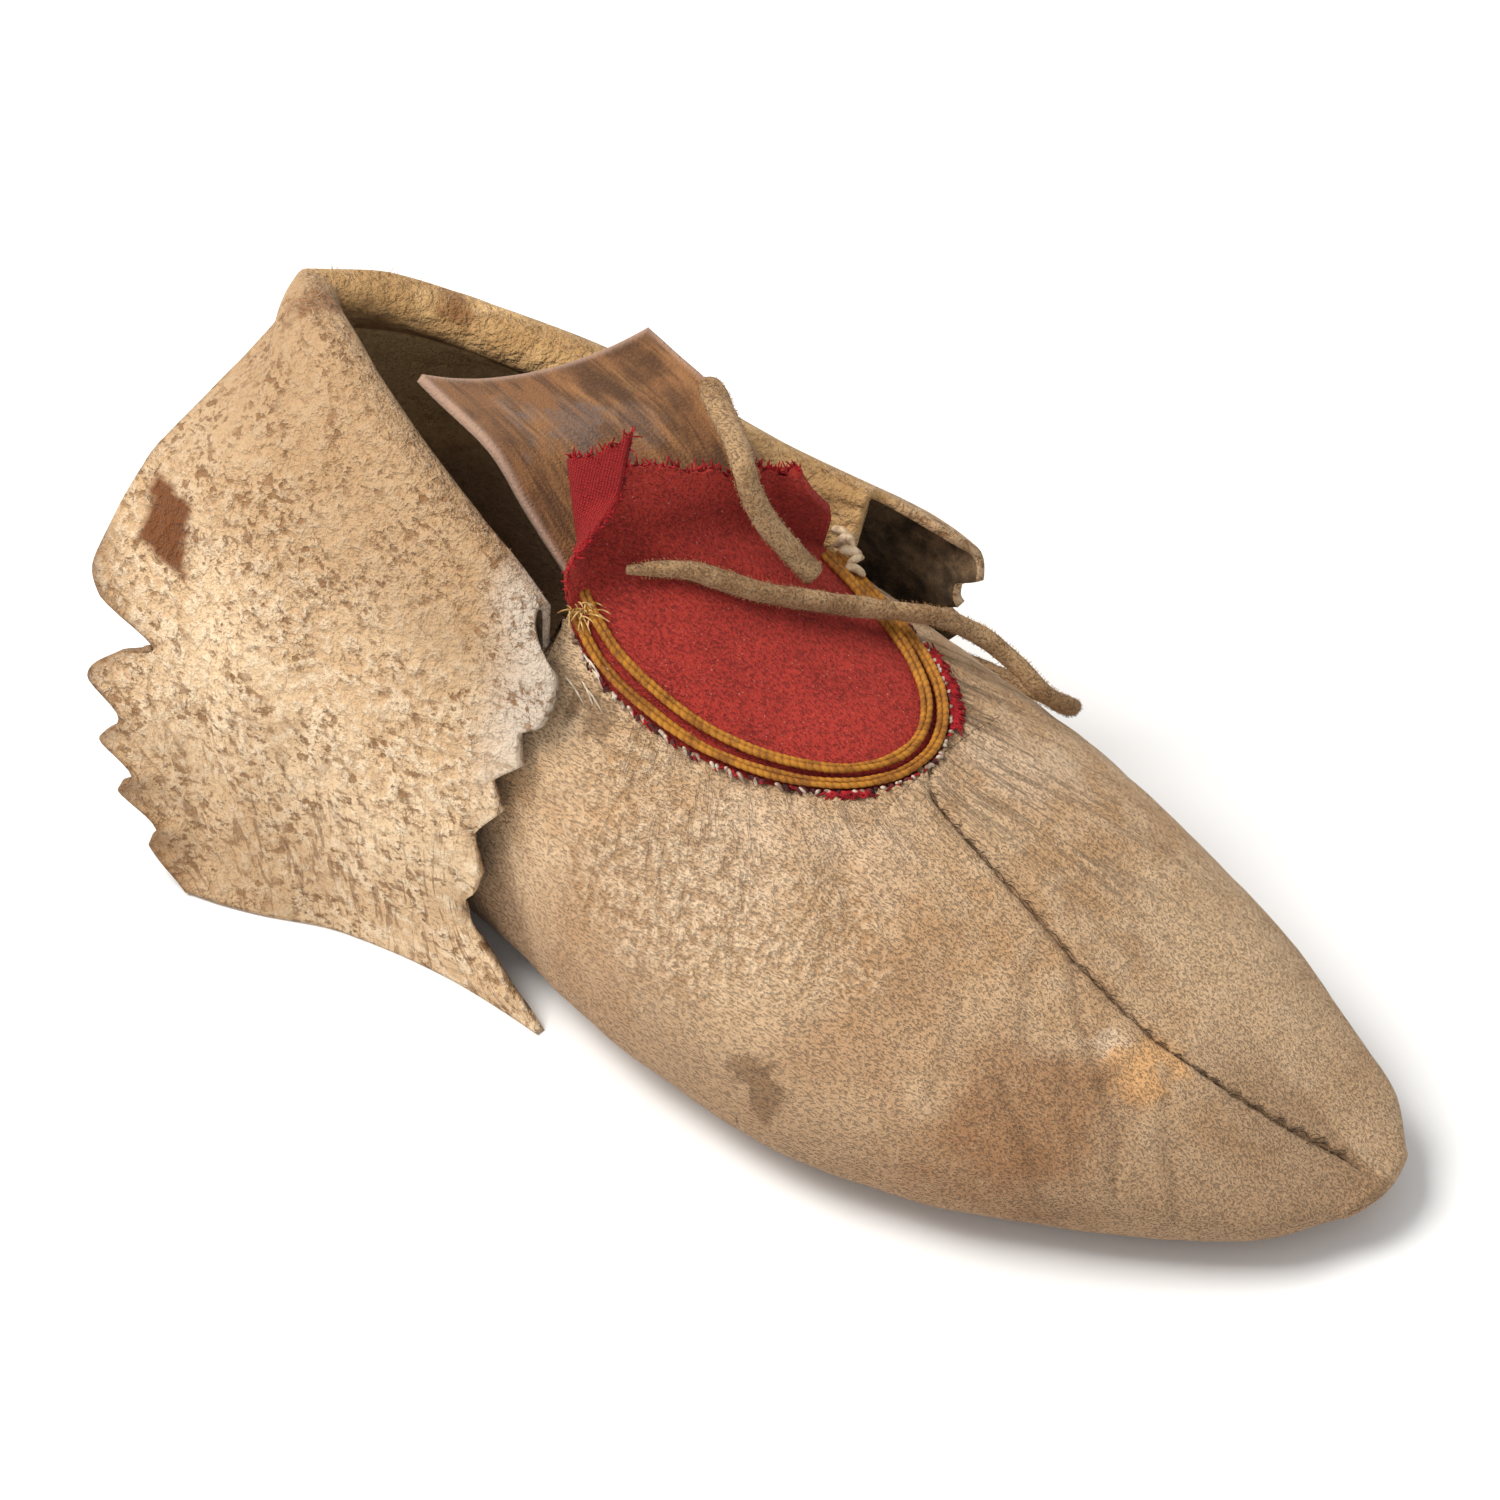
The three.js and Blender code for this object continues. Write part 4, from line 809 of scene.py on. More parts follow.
def buckskin_material():
    """Napped tan hide: cloudy colour, fine dark hairs, a pebbled grain where it is worn, and stains. Painted shade
    darkens it low down, in creases and by the cuff, painted highlights lighten its grain and pebble tops, and
    painted light brightens its inside wall at the mouth.
    """
    material, tree, place, polar = new_material("buckskin")
    cloud = noise(tree, place, 26, 4, 0.55)
    mottle = noise(tree, place, 130, 4, 0.62)
    grain = noise(tree, place, 1700, 3, 0.6)
    hair = fibres(tree, place, 3000, 0.35, 0.50, 0.2)
    long_hair = fibres(tree, place, 420, 0.3, 0.50, 0.2)
    rays = fibres(tree, polar, 900, 0.1, 0.54, 0.09)
    pebble = noise(tree, place, 560, 3, 0.55)
    rough = painted(tree, "rough")
    colour = tint(tree, spread(tree, cloud, 0.40, 0.60), (0.53, 0.315, 0.16), (0.66, 0.44, 0.255))
    colour = tint(tree, spread(tree, mottle, 0.42, 0.64, 0.0, 0.5), colour, (0.72, 0.51, 0.32))
    # Painted shade low down on the hide.
    colour = stain(tree, colour, painted(tree, "low"), 0.75, (0.33, 0.19, 0.10))
    colour = stain(tree, colour, painted(tree, "pale"), 0.7, (0.82, 0.61, 0.42))
    colour = stain(tree, colour, painted(tree, "amber"), 0.8, (0.78, 0.42, 0.17))
    ragged = reckon(tree, "MULTIPLY", painted(tree, "warm"), spread(tree, mottle, 0.32, 0.58, 0.7, 1.0))
    colour = stain(tree, colour, ragged, 0.72, (0.30, 0.125, 0.045))
    # Painted highlight and shade on the pebbled grain: its raised tops pale, its pits dark.
    tops = tint(tree, spread(tree, pebble, 0.40, 0.60), (0.40, 0.22, 0.10), (0.82, 0.60, 0.39))
    colour = stain(tree, colour, rough, 0.6, tops)
    colour = stain(tree, colour, hair, 0.25, (0.20, 0.11, 0.05))
    colour = stain(tree, colour, long_hair, 0.2, (0.34, 0.19, 0.09))
    # Painted highlight: fine specks lighter where the grain's bump stands up.
    colour = tint(tree, spread(tree, grain, 0.55, 0.72, 0.0, 0.3), colour, (0.78, 0.58, 0.38))
    cracked = reckon(tree, "MULTIPLY", rays, painted(tree, "rayed"))
    colour = stain(tree, colour, cracked, 0.5, (0.19, 0.10, 0.045))
    # Dirt and painted shade, speckled by the grain, darken the hide.
    speckled = plus(tree, painted(tree, "grime_and_shade"), reckon(tree, "SUBTRACT", grain, 0.5), 1.6)
    colour = stain(tree, colour, spread(tree, speckled, 0.15, 1.0), 0.72, (0.17, 0.085, 0.035))
    # Painted shade darkens the creases, the seam valley and the pucker valleys.
    colour = stain(tree, colour, painted(tree, "crease_shade"), 0.36, (0.13, 0.07, 0.035))
    streaks = fibres(tree, place, 330, 0.15, 0.5, 0.2)
    # Painted light on the inside wall at the mouth: bright tan with streaks.
    lit_inside = stain(tree, (0.97, 0.69, 0.35), streaks, 0.45, (0.58, 0.33, 0.13))
    colour = tint(tree, painted(tree, "painted_light_band"), colour, lit_inside)
    height = plus(tree, reckon(tree, "MULTIPLY", grain, 0.5), hair, -0.5)
    height = plus(tree, height, reckon(tree, "MULTIPLY", rough, pebble), 3.0)
    height = plus(tree, height, mottle, 1.2)
    height = plus(tree, height, cracked, -1.1)
    surface(tree, colour, 0.92, height, 0.0007, 0.12, (1.0, 0.9, 0.75))
    return material


def add_wall(piece, thickness, offset, second_slot=False):
    """Gives a sheet its wall; offset -1 grows it inwards from the skin, 0 to both sides. Its back may take
    the piece's second material."""
    wall = piece.modifiers.new("wall", "SOLIDIFY")
    wall.thickness = thickness * MM
    wall.offset = offset
    wall.use_even_offset = False
    wall.use_rim = True
    wall.material_offset = 1 if second_slot else 0


body_points, body_masks = make_body_mesh()
body_faces = grid_faces(*body_points.shape[:2])
body_map = np.stack(throat_polar(body_points), axis=-1) * MM
body = build_piece("hide_body", body_points, body_faces, body_map, body_masks, buckskin_material())
close_mesh(body)
add_wall(body, HIDE_WALL, -1)
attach(body, "root")
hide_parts("moccasin_body")


# Ankle cuff: one strip of thicker speckled hide, sewn along the mouth of the body. It rolls outward over
# the seam and hangs to the floor, with pinked ends in front and at the slit in the back.

CUFF_WALL = 1.8
CUFF_SEAM_GAP = 0.45
CUFF_END_GAP = 1.2
CUFF_ROLL_RADIUS = 4.5
CUFF_END_RADIUS = 1.4
CUFF_FLOOR_CLEARANCE = 0.3
CUFF_SETTLED = 0.24
ROLL_ANGLE = np.pi * 0.75
CAD_COLUMNS = 12
# Crest of the roll from its front end to the heel: share along, x of the length, y of the width, z of
# the heel height.
FOLD = {
    -1: np.array([
        (0.00, -0.152, -0.272, 0.822), (0.15, -0.190, -0.262, 0.868), (0.30, -0.230, -0.254, 0.906),
        (0.50, -0.290, -0.224, 0.962), (0.70, -0.352, -0.178, 1.010), (0.86, -0.412, -0.112, 1.035),
        (0.95, -0.452, -0.050, 1.022), (1.00, -0.468, 0.010, 0.998),
    ]),
    1: np.array([
        (0.00, -0.062, 0.382, 0.745), (0.12, -0.100, 0.376, 0.742), (0.25, -0.150, 0.352, 0.758),
        (0.45, -0.240, 0.306, 0.808), (0.62, -0.310, 0.272, 0.842), (0.78, -0.380, 0.214, 0.880),
        (0.92, -0.440, 0.118, 0.945), (1.00, -0.468, 0.010, 0.998),
    ]),
}
# How each half hangs: share along, share of the fall, x of the length, distance off the side of the width.
DRAPE = {
    -1: np.array([
        (0.00, 0.00, -0.140, 0.055), (0.00, 0.12, -0.112, 0.050), (0.00, 0.30, -0.132, 0.040),
        (0.00, 0.55, -0.152, 0.034), (0.00, 0.78, -0.168, 0.032), (0.00, 1.00, -0.095, 0.020),
        (0.30, 0.00, -0.228, 0.060), (0.30, 0.12, -0.222, 0.075), (0.30, 0.30, -0.216, 0.080),
        (0.30, 0.55, -0.208, 0.080), (0.30, 0.78, -0.203, 0.070), (0.30, 1.00, -0.196, 0.066),
        (0.60, 0.00, -0.322, 0.085), (0.60, 0.12, -0.316, 0.110), (0.60, 0.30, -0.308, 0.130),
        (0.60, 0.55, -0.300, 0.140), (0.60, 0.78, -0.290, 0.140), (0.60, 1.00, -0.282, 0.140),
        (0.85, 0.00, -0.412, 0.090), (0.85, 0.12, -0.408, 0.150), (0.85, 0.30, -0.410, 0.200),
        (0.85, 0.55, -0.400, 0.240), (0.85, 0.78, -0.380, 0.250), (0.85, 1.00, -0.350, 0.250),
        (1.00, 0.00, -0.474, 0.020), (1.00, 0.12, -0.486, 0.080), (1.00, 0.30, -0.506, 0.160),
        (1.00, 0.42, -0.508, 0.225), (1.00, 0.55, -0.498, 0.255), (1.00, 0.78, -0.460, 0.325),
        (1.00, 1.00, -0.403, 0.335),
    ]),
    1: np.array([
        (0.00, 0.00, -0.050, 0.200), (0.00, 0.06, -0.015, 0.220), (0.00, 0.12, 0.004, 0.220),
        (0.00, 0.20, 0.017, 0.152), (0.00, 0.30, -0.004, 0.083), (0.00, 0.55, -0.015, 0.070),
        (0.00, 0.78, -0.020, 0.055), (0.00, 1.00, -0.020, 0.055),
        (0.30, 0.00, -0.165, 0.120), (0.30, 0.12, -0.160, 0.130), (0.30, 0.30, -0.152, 0.130),
        (0.30, 0.55, -0.145, 0.105), (0.30, 0.78, -0.140, 0.095), (0.30, 1.00, -0.135, 0.100),
        (0.60, 0.00, -0.300, 0.110), (0.60, 0.12, -0.296, 0.125), (0.60, 0.30, -0.290, 0.125),
        (0.60, 0.55, -0.284, 0.115), (0.60, 0.78, -0.276, 0.120), (0.60, 1.00, -0.270, 0.130),
        (0.85, 0.00, -0.412, 0.080), (0.85, 0.12, -0.412, 0.105), (0.85, 0.30, -0.408, 0.115),
        (0.85, 0.55, -0.396, 0.120), (0.85, 0.78, -0.380, 0.140), (0.85, 1.00, -0.365, 0.150),
        (1.00, 0.00, -0.478, 0.010), (1.00, 0.12, -0.496, 0.020), (1.00, 0.30, -0.512, 0.055),
        (1.00, 0.55, -0.505, 0.105), (1.00, 0.78, -0.485, 0.150), (1.00, 1.00, -0.460, 0.180),
    ]),
}
# Pinked ends: share of the fall, and how far the edge stands out as a share of the foot length.
FRONT_TEETH = np.array([
    (0.00, 0.000), (0.20, 0.000), (0.24, -0.012), (0.30, 0.006), (0.37, -0.013), (0.43, 0.006),
    (0.53, -0.014), (0.63, 0.006), (0.70, 0.004), (0.77, -0.014), (0.84, 0.000), (1.00, 0.000),
])
REAR_TEETH = np.array([
    (0.00, 0.000), (0.37, 0.010), (0.42, 0.012), (0.47, 0.004), (0.51, -0.040), (0.56, -0.008),
    (0.63, 0.016), (0.67, -0.008), (0.73, 0.012), (0.77, -0.008), (0.83, 0.014), (0.87, -0.007),
    (0.93, 0.012), (1.00, 0.000),
])
TEETH_DRAWN_OUT = 1.25
CUFF_COLUMNS = 96
SEAM_ROWS, ROLL_ROWS, FALL_ROWS = 8, 20, 140
# Length of half the strip on the cuff's map, in mm.
STRIP_HALF = 110
# A dark brown patch shaped like a diamond near the heel, and cuts low on the outer side.
PATCH_CENTRE = (-112.6, -42.8, 69.2)
PATCH_LENGTHWISE = (0.706, -0.470, -0.536)
PATCH_CROSSWISE = (0.694, 0.311, 0.649)
PATCH_HALF_LENGTH = 11.5
PATCH_HALF_WIDTH = 7.8
SLASH_RADIUS = 0.9
SLASHES = [((-68.4, -50.8, 31.7), (-64.2, -50.8, 21.7)), ((-62.5, -49.8, 37.5), (-61.3, -50.2, 33.5))]


def drape_value(table, along, fall, column):
    """Grid of a drape column: smooth down each station of the table, then smooth along the strip."""
    stations = np.unique(table[:, 0])
    down = []
    for station in stations:
        rows = table[table[:, 0] == station]
        down.append(smooth(fall, rows[:, 1], rows[:, column]))
    down = np.array(down)
    return np.stack([smooth(along, stations, down[:, k]) for k in range(len(fall))], axis=1)


def rim_points(side, share):
    """Points of the mouth's edge from its front end to the heel, at shares of its length."""
    x = np.linspace(rim_front(side) - CUFF_END_GAP, -0.5 * FOOT_LENGTH, 241)
    z = rim_height(x, side)
    crown, _ = crown_and_girth(sections(x / FOOT_LENGTH + 0.5))
    above = crown - SOLE_PRESS <= z
    last = np.argmax(above) if above.any() else len(x)
    line = np.stack([x, skin_side(x, z, side), z], axis=1)[:last]
    line = np.vstack([line, line[-1] * (1, 0, 1)])
    gone = length_gone(line)
    return spots_along(line, gone, share * gone[-1])


def cuff_half(side):
    """Grid of one half of the cuff: columns from the front end to the heel, rows from seam to hem."""
    along = np.linspace(0, 1, CUFF_COLUMNS)

    def crest(at):
        return columns_at(FOLD[side], at) * SHOE_SCALE

    ahead = crest(np.minimum(along + 0.01, 1)) - crest(np.maximum(along - 0.01, 0))
    outward = unit(np.stack([ahead[:, 1], -ahead[:, 0], 0 * along], axis=1)) * side
    to_heel = np.clip((along - 1) * CAD_COLUMNS + 1, 0, 1)[:, None]
    outward = unit(outward * (1 - to_heel) + np.array([-1.0, 0, 0]) * to_heel)
    radius = (CUFF_END_RADIUS + (CUFF_ROLL_RADIUS - CUFF_END_RADIUS) * np.minimum(3 * along, 1))[:, None]
    axis = crest(along) - radius * (0, 0, 1)
    seam = rim_points(side, along) - outward * (HIDE_WALL / 2) + np.array([0, 0, CUFF_SEAM_GAP])
    lift = np.linspace(0, 1, SEAM_ROWS, endpoint=False)[None, :, None]
    lifted = seam[:, None] * (1 - lift) + (axis - outward * radius)[:, None] * lift
    angle = np.linspace(0, ROLL_ANGLE, ROLL_ROWS)[None, :, None]
    rolled = (
        axis[:, None] - outward[:, None] * radius[:, None] * np.cos(angle)
        + radius[:, None] * np.sin(angle) * (0, 0, 1)
    )
    edge = rolled[:, -1]
    hem = edge[:, 2] - CUFF_FLOOR_CLEARANCE
    fall = np.linspace(0, 1, FALL_ROWS + 1)[1:]
    teeth = np.maximum(1 - CAD_COLUMNS * along, 0)[:, None] * np.interp(fall, *FRONT_TEETH.T)
    rear = smooth(fall, *REAR_TEETH.T) * TEETH_DRAWN_OUT
    teeth = teeth - np.maximum(1 - CAD_COLUMNS * (1 - along), 0)[:, None] * rear
    x = (drape_value(DRAPE[side], along, fall, 2) + teeth) * FOOT_LENGTH
    z = edge[:, 2:] - hem[:, None] * fall
    off = drape_value(DRAPE[side], along, fall, 3) * BALL_WIDTH
    hung = np.stack([x, skin_side(np.maximum(x, -0.4 * FOOT_LENGTH), z, side) + side * off, z], axis=-1)
    slope = np.sin(ROLL_ANGLE) / -np.cos(ROLL_ANGLE)
    carried = edge[:, None] + outward[:, None] * (slope * hem[:, None] * fall)[..., None]
    carried[..., 2] = z
    settle = eased(0, CUFF_SETTLED, fall)[None, :, None]
    falling = carried * (1 - settle) + hung * settle
    across = np.minimum(3 * fall / CUFF_SETTLED, 1)
    falling[..., 0] = carried[..., 0] * (1 - across) + hung[..., 0] * across
    return np.concatenate([lifted, rolled, falling], axis=1)


def make_cuff_mesh():
    """Both halves, joined at the heel down to the slit, with slack, a mapping in mm and masks."""
    halves = {side: cuff_half(side) for side in (-1, 1)}
    shared = SEAM_ROWS + ROLL_ROWS
    halves[1][-1, :shared] = halves[-1][-1, :shared]
    points, faces, maps = [], [], []
    masks = {name: [] for name in ("chalk", "brown", "hem", "stretch", "lining", "tan")}
    rows = shared + FALL_ROWS
    for number, (side, grid) in enumerate(halves.items()):
        normal = surface_normals(grid)
        down = np.concatenate([np.zeros(shared), np.linspace(0, 1, FALL_ROWS)])[None, :]
        along = np.linspace(0, 1, CUFF_COLUMNS)[:, None]
        free = eased(0.03, 0.25, down) * eased(0.0, 4.0, grid[..., 2])
        at_joint = eased(0.0, 0.04, 1 - along + down)
        slack = 0.5 * lumps(grid, 24, 71) + 0.24 * lumps(grid, 8, 72) + 0.16 * lumps(grid, 3.4, 73)
        points.append(grid + normal * (free * at_joint * slack)[..., None])
        faces.append(grid_faces(CUFF_COLUMNS, rows) + number * CUFF_COLUMNS * rows)
        gone = length_gone(grid)
        maps.append(np.stack([gone, side * (1 - along) * STRIP_HALF + 0 * gone], axis=-1))
        ragged = 1 + 0.8 * lumps(grid, 3, 77)
        masks["chalk"].append((side < 0) * (1 - eased(0.04, 0.22, along)) * (1 - eased(0.2, 0.5, down)))
        slashes = np.zeros(grid.shape[:2])
        for start, end in SLASHES:
            for share in np.linspace(0, 1, 14)[:, None, None]:
                gap = grid - (np.array(start) * (1 - share) + np.array(end) * share)
                slashes = np.maximum(slashes, np.exp(-((gap / SLASH_RADIUS) ** 2).sum(axis=-1)))
        from_patch = grid - np.array(PATCH_CENTRE)
        lengthwise = np.abs(from_patch @ PATCH_LENGTHWISE) / PATCH_HALF_LENGTH
        diamond = lengthwise + np.abs(from_patch @ PATCH_CROSSWISE) / PATCH_HALF_WIDTH
        diamond = diamond + 0.12 * lumps(grid, 2.6, 75) + 0.06 * lumps(grid, 1.0, 76)
        smears = 0.6 * blob(grid, (-106, -6, 101), 7, 78, 0.7) + 0.7 * blob(grid, (-96, 20, 88), 8, 79, 0.7)
        patch = (side < 0) * (1 - eased(0.82, 1.02, diamond))
        masks["brown"].append(np.clip(patch + 0.85 * slashes + smears, 0, 1))
        masks["hem"].append(np.exp(-(1 - along) * STRIP_HALF / (1.8 * ragged)) * eased(0.3, 0.4, down))
        masks["stretch"].append((side < 0) * eased(0.35, 0.8, down) + 0 * along)
        masks["lining"].append((side > 0) * (1 - eased(0, 0.05, down)) + 0 * along)
        low_rear = eased(0.45, 0.95, along) * eased(0.45, 1.0, down) * 0.8
        masks["tan"].append(np.clip(0.95 * (1 - eased(0.05, 0.45, down)) + low_rear, 0, 1))
    masks = {name: np.concatenate(values) for name, values in masks.items()}
    return np.concatenate(points), np.concatenate(faces), np.concatenate(maps), masks


def speckled_material():
    """Cream hide with a curly nap: brown hairs lie in short soft strokes, thick in some places and thin in
    others, over relief whose raised tops are painted pale as a highlight. The crest and the rear are tanner, the
    front lobe is chalky."""
    material, tree, place, strip = new_material("speckled_hide")
    cloud = noise(tree, place, 45, 4, 0.55)
    crowd = noise(tree, place, 115, 3, 0.6)
    nap = noise(tree, place, 2200, 3, 0.65)
    curls = noise(tree, place, 400, 3, 0.62)
    strokes = fibres(tree, place, 600, 0.75, 0.525, 0.11)
    flecks = fibres(tree, place, 1250, 0.8, 0.54, 0.09)
    long_strokes = fibres(tree, strip, 520, 0.28, 0.53, 0.11)
    plain = reckon(tree, "SUBTRACT", 1.0, painted(tree, "lining"))
    colour = tint(tree, spread(tree, cloud, 0.38, 0.62), (0.74, 0.485, 0.27), (0.90, 0.64, 0.39))
    # Painted highlight: the curls' raised tops are coloured pale cream.
    colour = tint(tree, spread(tree, curls, 0.46, 0.62, 0.0, 0.65), colour, (0.98, 0.79, 0.56))
    colour = tint(tree, reckon(tree, "MULTIPLY", painted(tree, "tan"), 0.8), colour, (0.46, 0.27, 0.13))
    colour = tint(tree, reckon(tree, "MULTIPLY", painted(tree, "chalk"), 0.75), colour, (0.70, 0.60, 0.50))
    thick = spread(tree, crowd, 0.36, 0.60, 0.3, 1.0)
    hairy = reckon(tree, "MULTIPLY", reckon(tree, "MULTIPLY", strokes, thick), plain)
    colour = tint(tree, reckon(tree, "MULTIPLY", hairy, 0.9), colour, (0.30, 0.14, 0.05))
    fine = reckon(tree, "MULTIPLY", reckon(tree, "MULTIPLY", flecks, thick), plain)
    colour = tint(tree, reckon(tree, "MULTIPLY", fine, 0.65), colour, (0.27, 0.13, 0.05))
    drawn = reckon(tree, "MULTIPLY", long_strokes, painted(tree, "stretch"))
    colour = tint(tree, reckon(tree, "MULTIPLY", drawn, 0.7), colour, (0.29, 0.15, 0.065))
    yellow = tint(tree, spread(tree, cloud, 0.4, 0.6), (0.52, 0.30, 0.12), (0.80, 0.51, 0.235))
    yellow = tint(tree, reckon(tree, "MULTIPLY", strokes, 0.45), yellow, (0.40, 0.21, 0.075))
    colour = tint(tree, painted(tree, "lining"), colour, yellow)
    colour = tint(tree, painted(tree, "brown"), colour, (0.19, 0.058, 0.012))
    colour = tint(tree, reckon(tree, "MULTIPLY", painted(tree, "hem"), 0.8), colour, (0.24, 0.115, 0.045))
    height = reckon(tree, "ADD", reckon(tree, "MULTIPLY", nap, 0.6), reckon(tree, "MULTIPLY", curls, 3.0))
    height = reckon(tree, "ADD", height, reckon(tree, "MULTIPLY", hairy, -0.5))
    surface(tree, colour, 0.93, height, 0.0009, 0.1, (1.0, 0.93, 0.8))
    return material


def flesh_material(name, dark, light):
    """The flesh side of a hide: short suede nap, drawn out in streaks and darker in patches; its dark brown is
    painted shade for the turned-under back of the cuff.
    """
    material, tree, place, _ = new_material(name)
    cloud = noise(tree, place, 130, 4, 0.65)
    streaks = fibres(tree, place, 520, 0.25, 0.48, 0.2)
    nap = noise(tree, place, 1900, 3, 0.6)
    share = reckon(tree, "MULTIPLY", spread(tree, cloud, 0.35, 0.62), spread(tree, nap, 0.3, 0.6, 0.6, 1.0))
    colour = tint(tree, share, dark, light)
    colour = tint(tree, reckon(tree, "MULTIPLY", streaks, 0.35), colour, dark)
    surface(tree, colour, 0.95, nap, 0.0005, 0.1, (1.0, 0.88, 0.7))
    return material


cuff_points, cuff_faces, cuff_map, cuff_masks = make_cuff_mesh()
cuff = build_piece("hide_cuff", cuff_points, cuff_faces, cuff_map * MM, cuff_masks, speckled_material())
# The cuff's back takes the flesh side, whose dark brown is painted shade for its undersides.
cuff.data.materials.append(flesh_material("cuff_flesh_side", (0.055, 0.032, 0.017), (0.30, 0.19, 0.10)))
close_mesh(cuff)
add_wall(cuff, CUFF_WALL, 0, second_slot=True)
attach(cuff, "root")
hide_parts("ankle_cuff")


# Vamp cloth: red wool fills the U and stands up behind it as a flap, its side margins rolled forward.

CLOTH_WALL = 1.6
SEAM_GAP = 0.3
CLOTH_EDGE_SUNK = 1.2
CLOTH_DOME = 0.9
CLOTH_BEHIND_RIM = 4.5
CURL_RADIUS = 2.2
# Rolled margins: place of the hinge, width of the margin in mm, and how far it turns.
CURLS = {-1: (-0.62, 14.0, 2.35), 1: (0.7, 4.5, 0.6)}
# How far in mm the free corner of the outer margin is lifted.
CURL_TIP = 9.0
# The bend at the flap's foot is rounded by averaging rows: how many rows to each side, how many times.
HINGE_REACH = 8.0
HINGE_PASSES = 120
FLAP_TOP = np.array([
    (-0.62, -0.176, -0.082, 1.011), (-0.20, -0.136, 0.000, 0.990), (0.24, -0.106, 0.110, 0.933),
    (0.70, -0.086, 0.190, 0.918),
])
CLOTH_COLUMNS = 110
BED_ROWS, BACK_ROWS, FLAP_ROWS = 60, 24, 44


def throat_back(y):
    """Line across the foot where the cloth leaves the U; the outer end lies further back."""
    outer, inner = rim_front(-1) - CLOTH_BEHIND_RIM, rim_front(1) - CLOTH_BEHIND_RIM
    return outer + (inner - outer) * (y - THROAT_CENTRE + THROAT_HALF_WIDTH) / (2 * THROAT_HALF_WIDTH)


def cloth_bed(place, x):
    """A point of the cloth inside the U: its share of the half width, and x."""
    y = throat_middle(x) + place * throat_half(x, SEAM_GAP)
    ahead = np.maximum((x - THROAT_START) / THROAT_ROUND, 0)
    dome = CLOTH_DOME * (1 - place * place) * (1 - ahead * ahead)
    return np.stack([x, y, skin_top(x, y) - CLOTH_EDGE_SUNK - CLOTH_WALL / 2 + dome], axis=-1)


def cloth_foot(place):
    """The foot of the flap at a share of the half width."""
    return cloth_bed(place, throat_back(THROAT_CENTRE + place * THROAT_HALF_WIDTH))


def flap_top(place):
    """The flap's free edge between its margins."""
    scale = np.array([FOOT_LENGTH, BALL_WIDTH, HEEL_HEIGHT])
    return np.stack([smooth(place, FLAP_TOP[:, 0], FLAP_TOP[:, k]) for k in (1, 2, 3)], axis=-1) * scale


def make_cloth_mesh():
    """Bed and flap in one grid, with felted slack, ragged free edges and a mask of the cloth's reverse."""
    place = np.linspace(-1, 1, CLOTH_COLUMNS)
    angle = np.linspace(0.05, 1, BED_ROWS) * np.pi / 2
    x = THROAT_START + (THROAT_ROUND - SEAM_GAP) * np.cos(angle)
    bed = cloth_bed(place[None, :] + 0 * x[:, None], x[:, None] + 0 * place)
    step = np.linspace(0, 1, BACK_ROWS + 1)[1:, None]
    to_back = THROAT_START + (throat_back(THROAT_CENTRE + place * THROAT_HALF_WIDTH) - THROAT_START) * step
    back = cloth_bed(place[None, :] + 0 * step, to_back)
    up = np.linspace(0, 1, FLAP_ROWS + 1)[1:, None]
    foot = cloth_foot(place)
    hinge_foot = {side: cloth_foot(np.array(CURLS[side][0])) for side in CURLS}
    hinge = {side: hinge_foot[side] * (1 - up) + flap_top(np.array(CURLS[side][0])) * up for side in CURLS}
    across = unit(hinge[1] - hinge[-1])
    rise = unit(flap_top(np.array(0.0)) - cloth_foot(np.array(0.0)))
    front = unit(np.cross(across, rise))
    flap = foot[None] * (1 - up[..., None]) + flap_top(place)[None] * up[..., None]
    reverse = np.zeros(flap.shape[:2])
    for side, (hinge_place, margin, turn) in CURLS.items():
        outside = place < hinge_place if side < 0 else place > hinge_place
        share = (np.abs(place[outside]) - abs(hinge_place)) / (1 - abs(hinge_place))
        near = np.linalg.norm(foot[outside] - hinge_foot[side], axis=1)
        length = near * (1 - up) + share * margin * up
        turned = turn * np.minimum(1.5 * up, 1) + 0.01
        bent = np.minimum(length, CURL_RADIUS * turned)
        gone = length - bent
        bend = bent / CURL_RADIUS
        out = CURL_RADIUS * np.sin(bend) + gone * np.cos(bend)
        lift = CURL_RADIUS * (1 - np.cos(bend)) + gone * np.sin(bend)
        flap[:, outside] = (
            hinge[side][:, None] + across[:, None] * (side * out)[..., None]
            + front[:, None] * lift[..., None]
        )
        if side < 0:
            flap[:, outside] += rise * (CURL_TIP * share ** 2 * up ** 2)[..., None]
        reverse[:, outside] = (side < 0) * eased(0.5, 1.4, bend)
    ragged = 0.9 * lumps(flap, 2.2, 81) + 0.6 * lumps(flap, 0.9, 82)
    flap = flap + rise * (eased(0.9, 1.0, up) * ragged)[..., None]
    grid = np.concatenate([bed, back, flap])
    from_hinge = (np.arange(len(grid)) - BED_ROWS - BACK_ROWS) / HINGE_REACH
    near_hinge = 0.5 * np.exp(-(from_hinge ** 2))[1:-1, None, None]
    for _ in range(HINGE_PASSES):
        grid[1:-1] += near_hinge * (0.5 * (grid[:-2] + grid[2:]) - grid[1:-1])
    slack = 0.22 * lumps(grid, 12, 83) + 0.12 * lumps(grid, 4, 84)
    edge = eased(0, 0.15, 1 - np.abs(place))[None, :]
    grid = grid + surface_normals(grid) * (slack * edge)[..., None]
    calm = np.zeros((BED_ROWS + BACK_ROWS, CLOTH_COLUMNS))
    return grid, {"reverse": np.concatenate([calm, reverse])}


